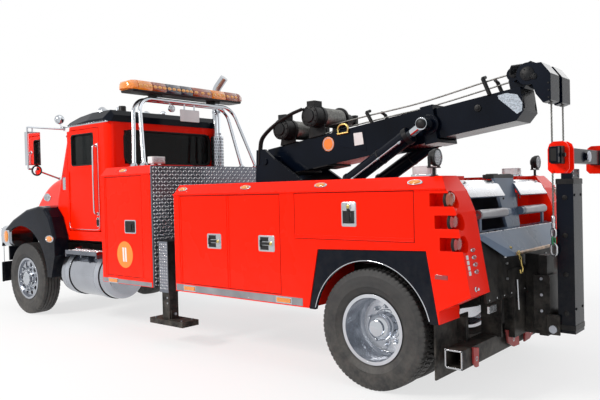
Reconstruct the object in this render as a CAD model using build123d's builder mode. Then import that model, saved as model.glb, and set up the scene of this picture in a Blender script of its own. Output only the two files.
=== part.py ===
"""Tow truck with side toolboxes, a telescopic recovery boom and a folding underlift.

Frame: +X forward, +Y to the truck's left, +Z up, millimetres.
Origin: on the ground, under the middle of the truck's length and width.
Heights are taken from the ground on which the tyres stand.
"""
from math import atan2, cos, degrees, hypot, radians, sin, tan
import os

from build123d import *

os.makedirs("parts", exist_ok=True)

# ------------------------------------------------------------------ driving dimensions
WHEELBASE = 6078
REAR_AXLE_X = -2700
FRONT_AXLE_X = REAR_AXLE_X + WHEELBASE
TYRE_RADIUS = 520
TYRE_WIDTH = 274
RIM_RADIUS = 302
FRONT_TYRE_Y = 1005
REAR_OUTER_TYRE_Y = 1065
DUAL_SPACING = 345
KINGPIN_Y = 880
AXLE_Z = TYRE_RADIUS

RAIL_OUTER_Y = 430
RAIL_FLANGE = 80
RAIL_WALL = 10
RAIL_BOTTOM_Z = 750
RAIL_TOP_Z = 1000
RAIL_REAR_X = -3450
RAIL_FRONT_X = 3900

BODY_HALF = 1220
BODY_INNER_Y = 590
BODY_BOTTOM_Z = 647
BODY_TOP_Z = 1804
DRIP_Z = 1702
BODY_FRONT_X = -170
WALL = 35
DOOR_THICKNESS = 35
DOOR_GAP = 6
CAB_DOOR_GAP = 9
HINGE_RADIUS = 4

TALL_BOX_REAR_X = 245
TALL_BOX_FRONT_X = 1245
TALL_BOX_TOP_Z = 2050
TALL_BOX_DRIP_Z = 1949
DECK_Z = 1640
TAIL_BAY_X = -3290
TAIL_HALF = 880

CAB_REAR_X = 1410
CAB_FRONT_X = 2700
CAB_HALF = 980
CAB_BOTTOM_Z = 1110
CAB_ROOF_Z = 2665
CAB_WALL = 60

BOOM_PIVOT = (-770, 0, 2050)
BOOM_ANGLE = 7.5
BOOM_HALF_WIDTH = 190
BOOM_DEPTH = 330
BOOM_TRAVEL = 1500

MAST_REAR_X = -3800
STINGER_FRONT_X = -3900
STINGER_REAR_X = -4040


# ------------------------------------------------------------------ shape helpers
def block(x, y, z, mode=Mode.ADD):
    """A box in the open part, from its (low, high) pairs along X, Y and Z."""
    middle = ((x[0] + x[1]) / 2, (y[0] + y[1]) / 2, (z[0] + z[1]) / 2)
    with Locations(middle):
        Box(x[1] - x[0], y[1] - y[0], z[1] - z[0], mode=mode)


def prism_y(points, y, rounding=0, mode=Mode.ADD):
    """Extrude a closed outline of (x, z) points across the truck, from y[0] to y[1]."""
    with BuildSketch(Plane.XZ.offset(-y[1])) as outline:
        with BuildLine():
            Polyline(*points, close=True)
        make_face()
        if rounding:
            fillet(outline.vertices(), rounding)
    extrude(outline.sketch, amount=y[1] - y[0], mode=mode)


def prism_x(points, x, rounding=0, mode=Mode.ADD):
    """Extrude a closed outline of (y, z) points along the truck, from x[0] to x[1]."""
    with BuildSketch(Plane.YZ.offset(x[0])) as outline:
        with BuildLine():
            Polyline(*points, close=True)
        make_face()
        if rounding:
            fillet(outline.vertices(), rounding)
    extrude(outline.sketch, amount=x[1] - x[0], mode=mode)


def prism_z(points, z, rounding=0, mode=Mode.ADD):
    """Extrude a closed outline of (x, y) points upwards, from z[0] to z[1]."""
    with BuildSketch(Plane.XY.offset(z[0])) as outline:
        with BuildLine():
            Polyline(*points, close=True)
        make_face()
        if rounding:
            fillet(outline.vertices(), rounding)
    extrude(outline.sketch, amount=z[1] - z[0], mode=mode)


def rod(start, end, radius, mode=Mode.ADD):
    """A round bar between two points."""
    along = Vector(*end) - Vector(*start)
    with BuildSketch(Plane(origin=start, z_dir=along)) as disc:
        Circle(radius)
    extrude(disc.sketch, amount=along.length, mode=mode)


def bar(start, end, width, depth, mode=Mode.ADD):
    """A rectangular bar between two points in a plane of constant y, width across the truck."""
    along = Vector(*end) - Vector(*start)
    with BuildSketch(Plane(origin=start, x_dir=(0, 1, 0), z_dir=along)) as section:
        Rectangle(width, depth)
    extrude(section.sketch, amount=along.length, mode=mode)


def turned(points, centre, mode=Mode.ADD):
    """Turn (radius, y) points about the line along Y through centre = (x, z)."""
    axis_x, axis_z = centre
    with BuildSketch(Plane.XY.offset(axis_z)) as profile:
        with BuildLine():
            Polyline(*[(axis_x + radius, y) for radius, y in points], close=True)
        make_face()
    revolve(profile.sketch, axis=Axis((axis_x, 0, axis_z), (0, 1, 0)), mode=mode)


def bent_tube(points, bend, radius):
    """A round tube along straight runs joined by arcs."""
    with BuildLine() as path:
        FilletPolyline(*points, radius=bend)
    with BuildSketch(Plane(origin=path.line @ 0, z_dir=path.line % 0)) as disc:
        Circle(radius)
    sweep(disc.sketch, path=path.line)


def span(side, near, far):
    """The (low, high) pair of a stretch from near to far on the left (1) or right (-1)."""
    return (near, far) if side > 0 else (-far, -near)


def save(node, name):
    """Label a finished piece and write it."""
    node.part.label = name
    export_step(node.part, f"parts/{name}.step")


SIDES = (("left", 1), ("right", -1))


# ------------------------------------------------------------------ chassis
with BuildPart() as chassis_frame:
    for name, side in SIDES:
        outer, inner = side * RAIL_OUTER_Y, side * (RAIL_OUTER_Y - RAIL_FLANGE)
        web = side * (RAIL_OUTER_Y - RAIL_WALL)
        channel = [
            (inner, RAIL_BOTTOM_Z), (outer, RAIL_BOTTOM_Z), (outer, RAIL_TOP_Z), (inner, RAIL_TOP_Z),
            (inner, RAIL_TOP_Z - RAIL_WALL), (web, RAIL_TOP_Z - RAIL_WALL),
            (web, RAIL_BOTTOM_Z + RAIL_WALL), (inner, RAIL_BOTTOM_Z + RAIL_WALL),
        ]
        prism_x(channel, (RAIL_REAR_X, RAIL_FRONT_X))
    for cross_x in (-3380, -2150, -1200, 60, 1550, 3820):
        block((cross_x, cross_x + 80), (-RAIL_OUTER_Y + RAIL_WALL, RAIL_OUTER_Y - RAIL_WALL),
              (RAIL_TOP_Z - 125, RAIL_TOP_Z - 20))
    # front plate with the arms that carry the bumper
    block((3890, 3910), (-RAIL_OUTER_Y, RAIL_OUTER_Y), (RAIL_BOTTOM_Z, RAIL_TOP_Z))
    block((3890, 3910), (-382, 382), (640, RAIL_BOTTOM_Z + 5))
    for name, side in SIDES:
        # beam that carries the midship jack, and the square sleeve at its end
        block((30, 150), span(side, RAIL_OUTER_Y - RAIL_WALL, 1025), (880, 980))
        block((10, 170), span(side, 1020, 1180), (600, 1180))
        block((20, 160), span(side, 1030, 1170), (590, 1170), mode=Mode.SUBTRACT)
        block((3905, 4110), span(side, 290, 340), (600, 690))
        # front lugs that carry the hood's hinge
        block((3890, 4022), span(side, 355, 380), (698, 742))
        rod((4000, side * 330, 720), (4000, side * 400, 720), 15.06, mode=Mode.SUBTRACT)
save(chassis_frame, "chassis_frame")

with BuildPart() as front_bumper:
    prism_z([(4150, -820), (4150, 820), (4060, 1180), (4010, 1200), (4010, 1160), (4040, 1145),
             (4110, 800), (4110, -800), (4040, -1145), (4010, -1160), (4010, -1200), (4060, -1180)],
            (430, 735))
save(front_bumper, "front_bumper")

with BuildPart() as engine_block:
    block((2760, 3650), (-300, 300), (800, 1520))
    block((1900, 2760), (-180, 180), (770, 1080))
save(engine_block, "engine_block")


# ------------------------------------------------------------------ axles
def leaf_spring(axle_x, y, half_length, end_z, middle_z, thickness):
    """A bowed spring pack: its ends are at end_z and its middle at middle_z."""
    with BuildSketch(Plane.XZ.offset(-y[1])) as outline:
        with BuildLine():
            low = ThreePointArc((axle_x - half_length, end_z), (axle_x, middle_z),
                                (axle_x + half_length, end_z))
            top = ThreePointArc((axle_x + half_length, end_z + thickness),
                                (axle_x, middle_z + thickness),
                                (axle_x - half_length, end_z + thickness))
            Line(low @ 1, top @ 0)
            Line(top @ 1, low @ 0)
        make_face()
    extrude(outline.sketch, amount=y[1] - y[0])


with BuildPart() as front_axle:
    prism_x([(-840, 475), (-660, 475), (-540, 400), (540, 400), (660, 475), (840, 475),
             (840, 565), (640, 565), (520, 480), (-520, 480), (-640, 565), (-840, 565)],
            (FRONT_AXLE_X - 45, FRONT_AXLE_X + 45))
    for name, side in SIDES:
        rod((FRONT_AXLE_X, side * KINGPIN_Y, 465), (FRONT_AXLE_X, side * KINGPIN_Y, 575), 45)
        block((FRONT_AXLE_X - 40, FRONT_AXLE_X + 40), span(side, 800, KINGPIN_Y), (475, 565))
        rod((FRONT_AXLE_X, side * KINGPIN_Y, 460), (FRONT_AXLE_X, side * KINGPIN_Y, 580), 25.06,
            mode=Mode.SUBTRACT)
        leaf_spring(FRONT_AXLE_X, span(side, 390, 470), 560, 690, 480, 60)
        for hanger_x in (FRONT_AXLE_X - 590, FRONT_AXLE_X + 530):
            block((hanger_x, hanger_x + 60), span(side, 390, 470), (680, RAIL_BOTTOM_Z))
save(front_axle, "front_axle")

with BuildPart() as rear_axle:
    with Locations((REAR_AXLE_X, 0, AXLE_Z)):
        Sphere(210)
    rod((REAR_AXLE_X, -560, AXLE_Z), (REAR_AXLE_X, 560, AXLE_Z), 80)
    rod((REAR_AXLE_X, -1010, AXLE_Z), (REAR_AXLE_X, 1010, AXLE_Z), 50)
    rod((REAR_AXLE_X + 150, 0, AXLE_Z + 20), (1895, 0, 820), 45)
    for name, side in SIDES:
        leaf_spring(REAR_AXLE_X, span(side, 360, 460), 620, 670, 590, 75)
        for hanger_x in (REAR_AXLE_X - 650, REAR_AXLE_X + 590):
            block((hanger_x, hanger_x + 60), span(side, 360, 460), (690, RAIL_BOTTOM_Z))
save(rear_axle, "rear_axle")

for name, side in SIDES:
    with BuildPart() as knuckle:
        kingpin = side * KINGPIN_Y
        rod((FRONT_AXLE_X, kingpin, 415), (FRONT_AXLE_X, kingpin, 625), 25)
        for low, high in ((420, 460), (580, 620)):
            rod((FRONT_AXLE_X, kingpin, low), (FRONT_AXLE_X, kingpin, high), 50)
            block((FRONT_AXLE_X - 45, FRONT_AXLE_X + 45), span(side, KINGPIN_Y, 940), (low, high))
        block((FRONT_AXLE_X - 60, FRONT_AXLE_X + 60), span(side, 930, 942), (420, 620))
        rod((FRONT_AXLE_X, side * 935, AXLE_Z), (FRONT_AXLE_X, side * 1085, AXLE_Z), 35)
        bar((FRONT_AXLE_X, side * 870, 435), (FRONT_AXLE_X - 190, side * 870, 435), 30, 28)
    save(knuckle, f"knuckle_{name}")


# ------------------------------------------------------------------ wheels
def tyre_profile(centre_y):
    """Half section of a tyre as (radius, y) points, bead to bead."""
    half = TYRE_WIDTH / 2
    shape = (  # radius, share of the half width
        (RIM_RADIUS, 0.72), (345, 0.95), (420, 1.0), (485, 0.94), (515, 0.84), (TYRE_RADIUS, 0.76))
    right = [(radius, centre_y + share * half) for radius, share in shape]
    left = [(radius, centre_y - share * half) for radius, share in shape]
    return right + left[::-1]


def rim_profile(centre_y):
    """Half section of a rim's barrel with its two flanges, as (radius, y) points."""
    low, high = centre_y - 112, centre_y + 112
    return [(272, low), (RIM_RADIUS, low), (RIM_RADIUS, low + 12), (290, low + 16), (290, high - 16),
            (RIM_RADIUS, high - 12), (RIM_RADIUS, high), (272, high)]


def dish_profile(face_y, root_y, bore):
    """Half section of a wheel disc at face_y and the cone that joins it to the barrel at root_y."""
    slope = 20 if root_y > face_y else -20
    return [(bore, face_y - 9), (238, face_y - 9), (278, root_y - 9 - slope), (278, root_y + 9 - slope),
            (238, face_y + 9), (bore, face_y + 9)]


for name, side in SIDES:
    with BuildPart() as front_tyre:
        turned(tyre_profile(side * FRONT_TYRE_Y), (FRONT_AXLE_X, AXLE_Z))
    save(front_tyre, f"front_tyre_{name}")

    with BuildPart() as front_rim:
        centre = (FRONT_AXLE_X, AXLE_Z)
        turned(rim_profile(side * FRONT_TYRE_Y), centre)
        turned(dish_profile(side * 1085, side * 1050, 35.06), centre)
        turned([(35.06, side * 950), (205, side * 950), (205, side * 1060), (150, side * 1080),
                (35.06, side * 1080)], centre)
        turned([(0, side * 1090), (110, side * 1090), (105, side * 1125), (60, side * 1134),
                (0, side * 1134)], centre)
        with BuildSketch(Plane(origin=(FRONT_AXLE_X, side * 1200, AXLE_Z), x_dir=(1, 0, 0),
                               z_dir=(0, -side, 0))) as holes:
            with PolarLocations(215, 10):
                Circle(30)
        extrude(holes.sketch, amount=125, mode=Mode.SUBTRACT)
    save(front_rim, f"front_rim_{name}")

    with BuildPart() as rear_tyres:
        turned(tyre_profile(side * REAR_OUTER_TYRE_Y), (REAR_AXLE_X, AXLE_Z))
        turned(tyre_profile(side * (REAR_OUTER_TYRE_Y - DUAL_SPACING)), (REAR_AXLE_X, AXLE_Z))
    save(rear_tyres, f"rear_tyres_{name}")

    with BuildPart() as rear_rims:
        centre = (REAR_AXLE_X, AXLE_Z)
        for tyre_y, face_y, root_y in ((REAR_OUTER_TYRE_Y, 916, 985),
                                       (REAR_OUTER_TYRE_Y - DUAL_SPACING, 896, 800)):
            turned(rim_profile(side * tyre_y), centre)
            turned(dish_profile(side * face_y, side * root_y, 50.06), centre)
        turned([(50.06, side * 640), (200, side * 640), (200, side * 890), (50.06, side * 890)], centre)
        turned([(50.06, side * 924), (115, side * 924), (110, side * 1060), (60, side * 1100),
                (0, side * 1100), (0, side * 1015), (50.06, side * 1015)], centre)
    save(rear_rims, f"rear_rims_{name}")


# ------------------------------------------------------------------ cab
CAB_SIDE_OUTLINE = [
    (CAB_REAR_X, CAB_BOTTOM_Z), (CAB_FRONT_X - 60, CAB_BOTTOM_Z), (CAB_FRONT_X, CAB_BOTTOM_Z + 80),
    (CAB_FRONT_X, 1930), (2440, CAB_ROOF_Z - 25), (2380, CAB_ROOF_Z), (CAB_REAR_X, CAB_ROOF_Z)]
CAB_INNER_OUTLINE = [
    (CAB_REAR_X + CAB_WALL, CAB_BOTTOM_Z + 40), (CAB_FRONT_X - 90, CAB_BOTTOM_Z + 40),
    (CAB_FRONT_X - 70, CAB_BOTTOM_Z + 90), (CAB_FRONT_X - 70, 1910), (2390, CAB_ROOF_Z - 70),
    (CAB_REAR_X + CAB_WALL, CAB_ROOF_Z - 70)]
CAB_DOOR_X = (1645, 2415)
CAB_DOOR_Z = (1240, 2600)
DOOR_WINDOW_X = (1765, 2312)
DOOR_WINDOW_Z = (2120, 2545)
SCREEN_SLOPE = degrees(atan2(CAB_ROOF_Z - 25 - 1930, CAB_FRONT_X - 2440))

with BuildPart() as cab_shell:
    prism_y(CAB_SIDE_OUTLINE, (-CAB_HALF, CAB_HALF))
    rear_corners = cab_shell.edges().filter_by(Axis.Z).group_by(Axis.X)[0]
    fillet(rear_corners, 110)
    screen_corners = [edge for edge in cab_shell.edges()
                      if abs(edge.center().Y) > CAB_HALF - 1 and 2500 < edge.center().X < 2620
                      and edge.center().Z > 2000]
    fillet(screen_corners, 120)
    prism_y(CAB_INNER_OUTLINE, (-CAB_HALF + CAB_WALL, CAB_HALF - CAB_WALL), mode=Mode.SUBTRACT)
    for name, side in SIDES:
        block((CAB_DOOR_X[0] - CAB_DOOR_GAP, CAB_DOOR_X[1] + CAB_DOOR_GAP), span(side, 800, 1000),
              (CAB_DOOR_Z[0] - CAB_DOOR_GAP, CAB_DOOR_Z[1] + CAB_DOOR_GAP), mode=Mode.SUBTRACT)
    block((CAB_REAR_X - 10, CAB_REAR_X + 100), (-745, 745), (2120, 2560), mode=Mode.SUBTRACT)
    # windscreen opening, square to the sloped screen
    prism_y([(2575, 1960), (2780, 1960), (2600, 2600), (2340, 2590)], (-840, 840),
            mode=Mode.SUBTRACT)
save(cab_shell, "cab_shell")

with BuildPart() as cab_roof:
    prism_y([(CAB_REAR_X - 10, CAB_ROOF_Z), (2450, CAB_ROOF_Z), (2400, 2730), (2200, 2790), (1900, 2820),
             (CAB_REAR_X + 60, 2820), (CAB_REAR_X - 10, 2750)], (-CAB_HALF - 5, CAB_HALF + 5))
    side_edges = [edge for edge in cab_roof.edges()
                  if abs(edge.center().Y) > CAB_HALF and edge.center().Z > 2780]
    chamfer(side_edges, 90, 110)
save(cab_roof, "cab_roof")

with BuildPart() as cab_glass:
    block((CAB_REAR_X + 25, CAB_REAR_X + 33), (-745, 745), (2120, 2560))
    prism_y([(2650, 1966), (2658, 1966), (2424, 2586), (2416, 2586)], (-835, 835))
save(cab_glass, "cab_glass")

with BuildPart() as cab_interior:
    # dashboard, steering column and wheel, two seats
    prism_y([(2380, 1600), (2600, 1560), (2600, 1880), (2430, 1880), (2360, 1800)], (-850, 850))
    rod((2380, 420, 1740), (2180, 420, 1850), 30)
    with BuildSketch(Plane(origin=(2180, 420, 1850), z_dir=(-200, 0, 110))) as wheel_ring:
        Circle(225)
        Circle(195, mode=Mode.SUBTRACT)
        Rectangle(400, 40)
    extrude(wheel_ring.sketch, amount=28)
    for seat_y in (-430, 430):
        block((1640, 2110), (seat_y - 250, seat_y + 250), (1150, 1560))
        prism_y([(1500, 1500), (1650, 1500), (1600, 2180), (1490, 2180)], (seat_y - 240, seat_y + 240))
save(cab_interior, "cab_interior")

for name, side in SIDES:
    with BuildPart() as cab_door:
        block(CAB_DOOR_X, span(side, CAB_HALF - CAB_WALL, CAB_HALF), CAB_DOOR_Z)
        fillet(cab_door.edges().filter_by(Axis.Y).group_by(Axis.Z)[0], 60)
        block(DOOR_WINDOW_X, span(side, 800, 1000), DOOR_WINDOW_Z, mode=Mode.SUBTRACT)
        rod((CAB_DOOR_X[1] - 6, side * (CAB_HALF + 8), 1350), (CAB_DOOR_X[1] - 6, side * (CAB_HALF + 8), 2050), 7)
        block((CAB_DOOR_X[1] - 40, CAB_DOOR_X[1] - 6), span(side, CAB_HALF - 1, CAB_HALF + 12), (1350, 2050))
    save(cab_door, f"cab_door_{name}")


# ------------------------------------------------------------------ hood, fenders and grille
HOOD_REAR_X = 2715
HOOD_FRONT_X = 4005
HOOD_PIVOT = (4000, 720)


def hood_side_face(inset):
    """The hood's side outline, its top one long arc, taken in by inset."""
    with BuildSketch(Plane.XZ.offset(-1000)) as outline:
        with BuildLine():
            top = ThreePointArc((HOOD_REAR_X - inset, 1975 - inset), (3430, 1870 - inset),
                                (3930 - inset, 1640 - inset))
            Polyline(top @ 1, (HOOD_FRONT_X - inset, 1500 - inset), (HOOD_FRONT_X - inset, 760 - inset),
                     (HOOD_REAR_X - inset, 760 - inset), top @ 0)
        make_face()
    return outline.sketch


with BuildPart() as hood:
    extrude(hood_side_face(0), amount=2000)
    prism_z([(2500, -900), (HOOD_REAR_X, -890), (3300, -760), (HOOD_FRONT_X - 60, -620),
             (HOOD_FRONT_X + 10, -560), (HOOD_FRONT_X + 10, 560), (HOOD_FRONT_X - 60, 620),
             (3300, 760), (HOOD_REAR_X, 890), (2500, 900)], (600, 2100), mode=Mode.INTERSECT)
    top_edges = [edge for edge in hood.edges() if edge.center().Z > 1600
                 and abs(edge.center().Y) > 500 and edge.length > 300]
    fillet(top_edges, 90)
    with BuildSketch(Plane.XZ.offset(-900)) as cavity_side:
        with BuildLine():
            top = ThreePointArc((2700, 1935), (3400, 1835), (3900, 1600))
            Polyline(top @ 1, (3960, 1480), (3960, 700), (2700, 700), top @ 0)
        make_face()
    cavity = extrude(cavity_side.sketch, amount=1800, mode=Mode.PRIVATE)
    with BuildSketch(Plane.XY.offset(650)) as cavity_plan:
        with BuildLine():
            Polyline((2690, -850), (3300, -720), (3950, -580), (3950, 580), (3300, 720), (2690, 850),
                     close=True)
        make_face()
    inner = extrude(cavity_plan.sketch, amount=1500, mode=Mode.PRIVATE)
    add(cavity & inner, mode=Mode.SUBTRACT)
    # wheels need the side open below the fender's top
    for name, side in SIDES:
        block((2600, 3960), span(side, 400, 1000), (700, 1180), mode=Mode.SUBTRACT)
    # grille opening
    block((3900, 4100), (-470, 470), (830, 1480), mode=Mode.SUBTRACT)
    rod((HOOD_PIVOT[0], -345, HOOD_PIVOT[1]), (HOOD_PIVOT[0], -395, HOOD_PIVOT[1]), 15)
    rod((HOOD_PIVOT[0], 345, HOOD_PIVOT[1]), (HOOD_PIVOT[0], 395, HOOD_PIVOT[1]), 15)
    for name, side in SIDES:
        block((3975, 4025), span(side, 385, 395), (700, 800))
save(hood, "hood")

ARCH_CENTRE = (FRONT_AXLE_X, 560)
ARCH_RADIUS = 735
FENDER_OUTLINE = [(2540, 600), (2690, 600), (3980, 760), (3985, 1080), (3900, 1240), (3640, 1385),
                  (3240, 1530), (2900, 1580), (2700, 1560), (2560, 1430), (2440, 1150), (2440, 900)]

with BuildPart() as fenders:
    for name, side in SIDES:
        prism_y(FENDER_OUTLINE, span(side, 640, 1200))
    side_edges = [edge for edge in fenders.edges() if abs(edge.center().Y) > 1199
                  and edge.center().Z > 1150 and edge.length > 100]
    fillet(side_edges, 45)
    inner_outline = [(2575, 560), (3950, 560), (3950, 1065), (3875, 1212), (3625, 1350), (3235, 1495),
                     (2900, 1545), (2715, 1525), (2590, 1410), (2475, 1140), (2475, 900)]
    for name, side in SIDES:
        prism_y(inner_outline, span(side, 600, 1165), mode=Mode.SUBTRACT)
        rod((ARCH_CENTRE[0], side * 1100, ARCH_CENTRE[1]), (ARCH_CENTRE[0], side * 1300, ARCH_CENTRE[1]),
            ARCH_RADIUS, mode=Mode.SUBTRACT)
        # the cab and the hood's own side stand in this space, and the fender swings up beside the cab
        block((2400, HOOD_REAR_X + 10), span(side, 0, CAB_HALF + 12), (500, 2000), mode=Mode.SUBTRACT)
        prism_z([(2500, 0), (2500, side * 905), (HOOD_REAR_X, side * 891), (3300, side * 761),
                 (HOOD_FRONT_X - 60, side * 621), (4100, side * 550), (4100, 0)], (500, 2100),
                mode=Mode.SUBTRACT)
save(fenders, "fenders")

with BuildPart() as grille:
    block((3965, 4020), (-468, 468), (832, 1478))
    block((3950, 4030), (-430, 430), (870, 1440), mode=Mode.SUBTRACT)
    for row in range(7):
        block((3970, 3990), (-440, 440), (900 + 80 * row, 930 + 80 * row))
    block((3970, 4000), (-15, 15), (860, 1450))
save(grille, "grille")


# ------------------------------------------------------------------ tanks, exhaust, mirrors
TANK_RADIUS = 300
TANK_Y = 850
TANK_Z = 670
TANK_X = (1285, 2425)

with BuildPart() as fuel_tanks:
    for name, side in SIDES:
        rod((TANK_X[0], side * TANK_Y, TANK_Z), (TANK_X[1], side * TANK_Y, TANK_Z), TANK_RADIUS)
    fillet([edge for edge in fuel_tanks.edges() if edge.geom_type == GeomType.CIRCLE], 70)
    for name, side in SIDES:
        for strap_x in (1480, 2180):
            rod((strap_x, side * TANK_Y, TANK_Z), (strap_x + 60, side * TANK_Y, TANK_Z), TANK_RADIUS + 8)
            block((strap_x, strap_x + 60), span(side, RAIL_OUTER_Y, 700), (800, 900))
        block((1500, 2240), span(side, 960, 1150), (945, 985))
save(fuel_tanks, "fuel_tanks")

STACK_X = 1327
STACK_Y = -815
with BuildPart() as exhaust_stack:
    rod((STACK_X, STACK_Y, 1080), (STACK_X, STACK_Y, 2560), 71)
    bent_tube([(STACK_X, STACK_Y, 2500), (STACK_X, STACK_Y, 3230), (STACK_X - 150, STACK_Y - 40, 3400)],
              200, 60)
    block((STACK_X - 30, STACK_X + 30), (STACK_Y + 20, -380), (1090, 1150))
    block((STACK_X - 30, STACK_X + 30), (-430, -380), (RAIL_TOP_Z, 1150))
save(exhaust_stack, "exhaust_stack")

with BuildPart() as mirrors:
    for name, side in SIDES:
        block((2560, 2640), span(side, 1290, 1470), (2140, 2590))
        block((2450, 2490), span(side, CAB_HALF, CAB_HALF + 8), (2615, 2655))
        block((2620, 2660), span(side, CAB_HALF, CAB_HALF + 8), (1940, 1980))
        rod((2470, side * (CAB_HALF + 4), 2640), (2600, side * 1450, 2655), 12)
        rod((2600, side * 1450, 2655), (2600, side * 1450, 2090), 12)
        rod((2600, side * 1450, 2090), (2600, side * 1380, 2090), 12)
        rod((2600, side * 1380, 2090), (2640, side * (CAB_HALF + 4), 1960), 12)
        rod((2600, side * 1380, 2655), (2600, side * 1380, 2580), 10)
        rod((2610, side * 1340, 2070), (2580, side * 1340, 2070), 70)
save(mirrors, "mirrors")


# ------------------------------------------------------------------ toolboxes
# name, x from, x to, z from, z to, edge that carries the hinge, openings' side
TALL_DOOR = (420, 1160, 745, 1925)
LOW_DOORS = (("front_door", -996, -260, 745, 1680), ("rear_door", -1720, -1004, 745, 1680))
WIDE_DOOR = (-3155, -1912, 1282, 1688)
ARCH_OUTLINE = [(-2047, 600), (-2171, 1187), (-3259, 1216), (-3365, 600)]
BODY_OUTLINE = [(BODY_FRONT_X, BODY_BOTTOM_Z), (BODY_FRONT_X, BODY_TOP_Z), (-3365, BODY_TOP_Z),
                (-3454, 1680), (-3520, 1520), (-3596, 1070), (-3628, 880), (-3365, 751),
                (-3365, BODY_BOTTOM_Z)]


def slope_top(side, x, drip_z, top_z):
    """Slope the box's outer top edge inwards above the drip rail."""
    prism_x([(side * (BODY_HALF + 1), drip_z), (side * (BODY_HALF + 1), top_z + 1),
             (side * (BODY_HALF - 90), top_z + 1)], x, mode=Mode.SUBTRACT)


def drip_rail(side, x, z):
    """The folded lip that keeps rain off the doors."""
    block(x, span(side, BODY_HALF - 5, BODY_HALF + 14), (z - 8, z + 4))


with BuildPart() as tall_boxes:
    for name, side in SIDES:
        block((TALL_BOX_REAR_X, TALL_BOX_FRONT_X), span(side, BODY_INNER_Y, BODY_HALF),
              (BODY_BOTTOM_Z, TALL_BOX_TOP_Z))
        slope_top(side, (TALL_BOX_REAR_X - 1, TALL_BOX_FRONT_X + 1), TALL_BOX_DRIP_Z, TALL_BOX_TOP_Z)
        block((TALL_BOX_REAR_X + WALL, TALL_BOX_FRONT_X - WALL),
              span(side, BODY_INNER_Y + WALL, BODY_HALF - DOOR_THICKNESS - 2),
              (BODY_BOTTOM_Z + WALL, TALL_BOX_DRIP_Z - 20), mode=Mode.SUBTRACT)
        block((TALL_DOOR[0] - DOOR_GAP, TALL_DOOR[1] + DOOR_GAP), span(side, 1100, 1300),
              (TALL_DOOR[2] - DOOR_GAP, TALL_DOOR[3] + DOOR_GAP), mode=Mode.SUBTRACT)
        drip_rail(side, (TALL_BOX_REAR_X, TALL_BOX_FRONT_X), TALL_BOX_DRIP_Z)
save(tall_boxes, "tall_boxes")

for name, side in SIDES:
    with BuildPart() as side_body:
        prism_y(BODY_OUTLINE, span(side, BODY_INNER_Y, BODY_HALF))
        slope_top(side, (-3700, BODY_FRONT_X + 1), DRIP_Z, BODY_TOP_Z)
        prism_y(ARCH_OUTLINE, span(side, 500, 1300), mode=Mode.SUBTRACT)
        block((-3700, TAIL_BAY_X), span(side, 500, TAIL_HALF), (600, 1900), mode=Mode.SUBTRACT)
        block((-1860, BODY_FRONT_X - WALL), span(side, BODY_INNER_Y + WALL, BODY_HALF - DOOR_THICKNESS - 2),
              (BODY_BOTTOM_Z + WALL, DRIP_Z - 15), mode=Mode.SUBTRACT)
        block((-3200, -1895), span(side, BODY_INNER_Y + WALL, BODY_HALF - DOOR_THICKNESS - 2),
              (1255, DRIP_Z - 15), mode=Mode.SUBTRACT)
        block((-1720 - DOOR_GAP, -260 + DOOR_GAP), span(side, 1100, 1300),
              (745 - DOOR_GAP, 1680 + DOOR_GAP), mode=Mode.SUBTRACT)
        block((WIDE_DOOR[0] - DOOR_GAP, WIDE_DOOR[1] + DOOR_GAP), span(side, 1100, 1300),
              (WIDE_DOOR[2] - DOOR_GAP, WIDE_DOOR[3] + DOOR_GAP), mode=Mode.SUBTRACT)
        # post behind the meeting edges of the two low doors
        block((-1030, -980), span(side, 1130, BODY_HALF - DOOR_THICKNESS - 2), (700, 1690))
        drip_rail(side, (-3440, BODY_FRONT_X), DRIP_Z)
    save(side_body, f"side_body_{name}")

    with BuildPart() as tall_door:
        block(TALL_DOOR[0:2], span(side, BODY_HALF - DOOR_THICKNESS, BODY_HALF), TALL_DOOR[2:4])
        rod((TALL_DOOR[1] - 2, side * (BODY_HALF + 5), TALL_DOOR[2]),
            (TALL_DOOR[1] - 2, side * (BODY_HALF + 5), TALL_DOOR[3]), HINGE_RADIUS)
        block((TALL_DOOR[1] - 30, TALL_DOOR[1] - 2), span(side, BODY_HALF - 1, BODY_HALF + 4), TALL_DOOR[2:4])
    save(tall_door, f"tall_door_{name}")

    for door_name, rear_x, front_x, low_z, high_z in LOW_DOORS:
        with BuildPart() as low_door:
            block((rear_x, front_x), span(side, BODY_HALF - DOOR_THICKNESS, BODY_HALF), (low_z, high_z))
            rod((front_x - 2, side * (BODY_HALF + 5), low_z), (front_x - 2, side * (BODY_HALF + 5), high_z),
                HINGE_RADIUS)
            block((front_x - 30, front_x - 2), span(side, BODY_HALF - 1, BODY_HALF + 4), (low_z, high_z))
        save(low_door, f"{door_name}_{name}")

    with BuildPart() as wide_door:
        block(WIDE_DOOR[0:2], span(side, BODY_HALF - DOOR_THICKNESS, BODY_HALF), WIDE_DOOR[2:4])
        rod((WIDE_DOOR[0], side * (BODY_HALF + 5), WIDE_DOOR[2] + 2),
            (WIDE_DOOR[1], side * (BODY_HALF + 5), WIDE_DOOR[2] + 2), HINGE_RADIUS)
        block(WIDE_DOOR[0:2], span(side, BODY_HALF - 1, BODY_HALF + 4), (WIDE_DOOR[2] + 2, WIDE_DOOR[2] + 30))
    save(wide_door, f"wide_door_{name}")

with BuildPart() as wheel_arches:
    for name, side in SIDES:
        prism_y([(-2058, 640), (-2173, 1184), (-3257, 1212), (-3355, 640)], span(side, 1175, 1212))
        rod((REAR_AXLE_X, side * 1100, AXLE_Z), (REAR_AXLE_X, side * 1300, AXLE_Z), 590, mode=Mode.SUBTRACT)
        prism_y([(-2180, 1152), (-2182, 1178), (-3248, 1205), (-3250, 1180)], span(side, 595, 1175))
save(wheel_arches, "wheel_arches")


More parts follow.
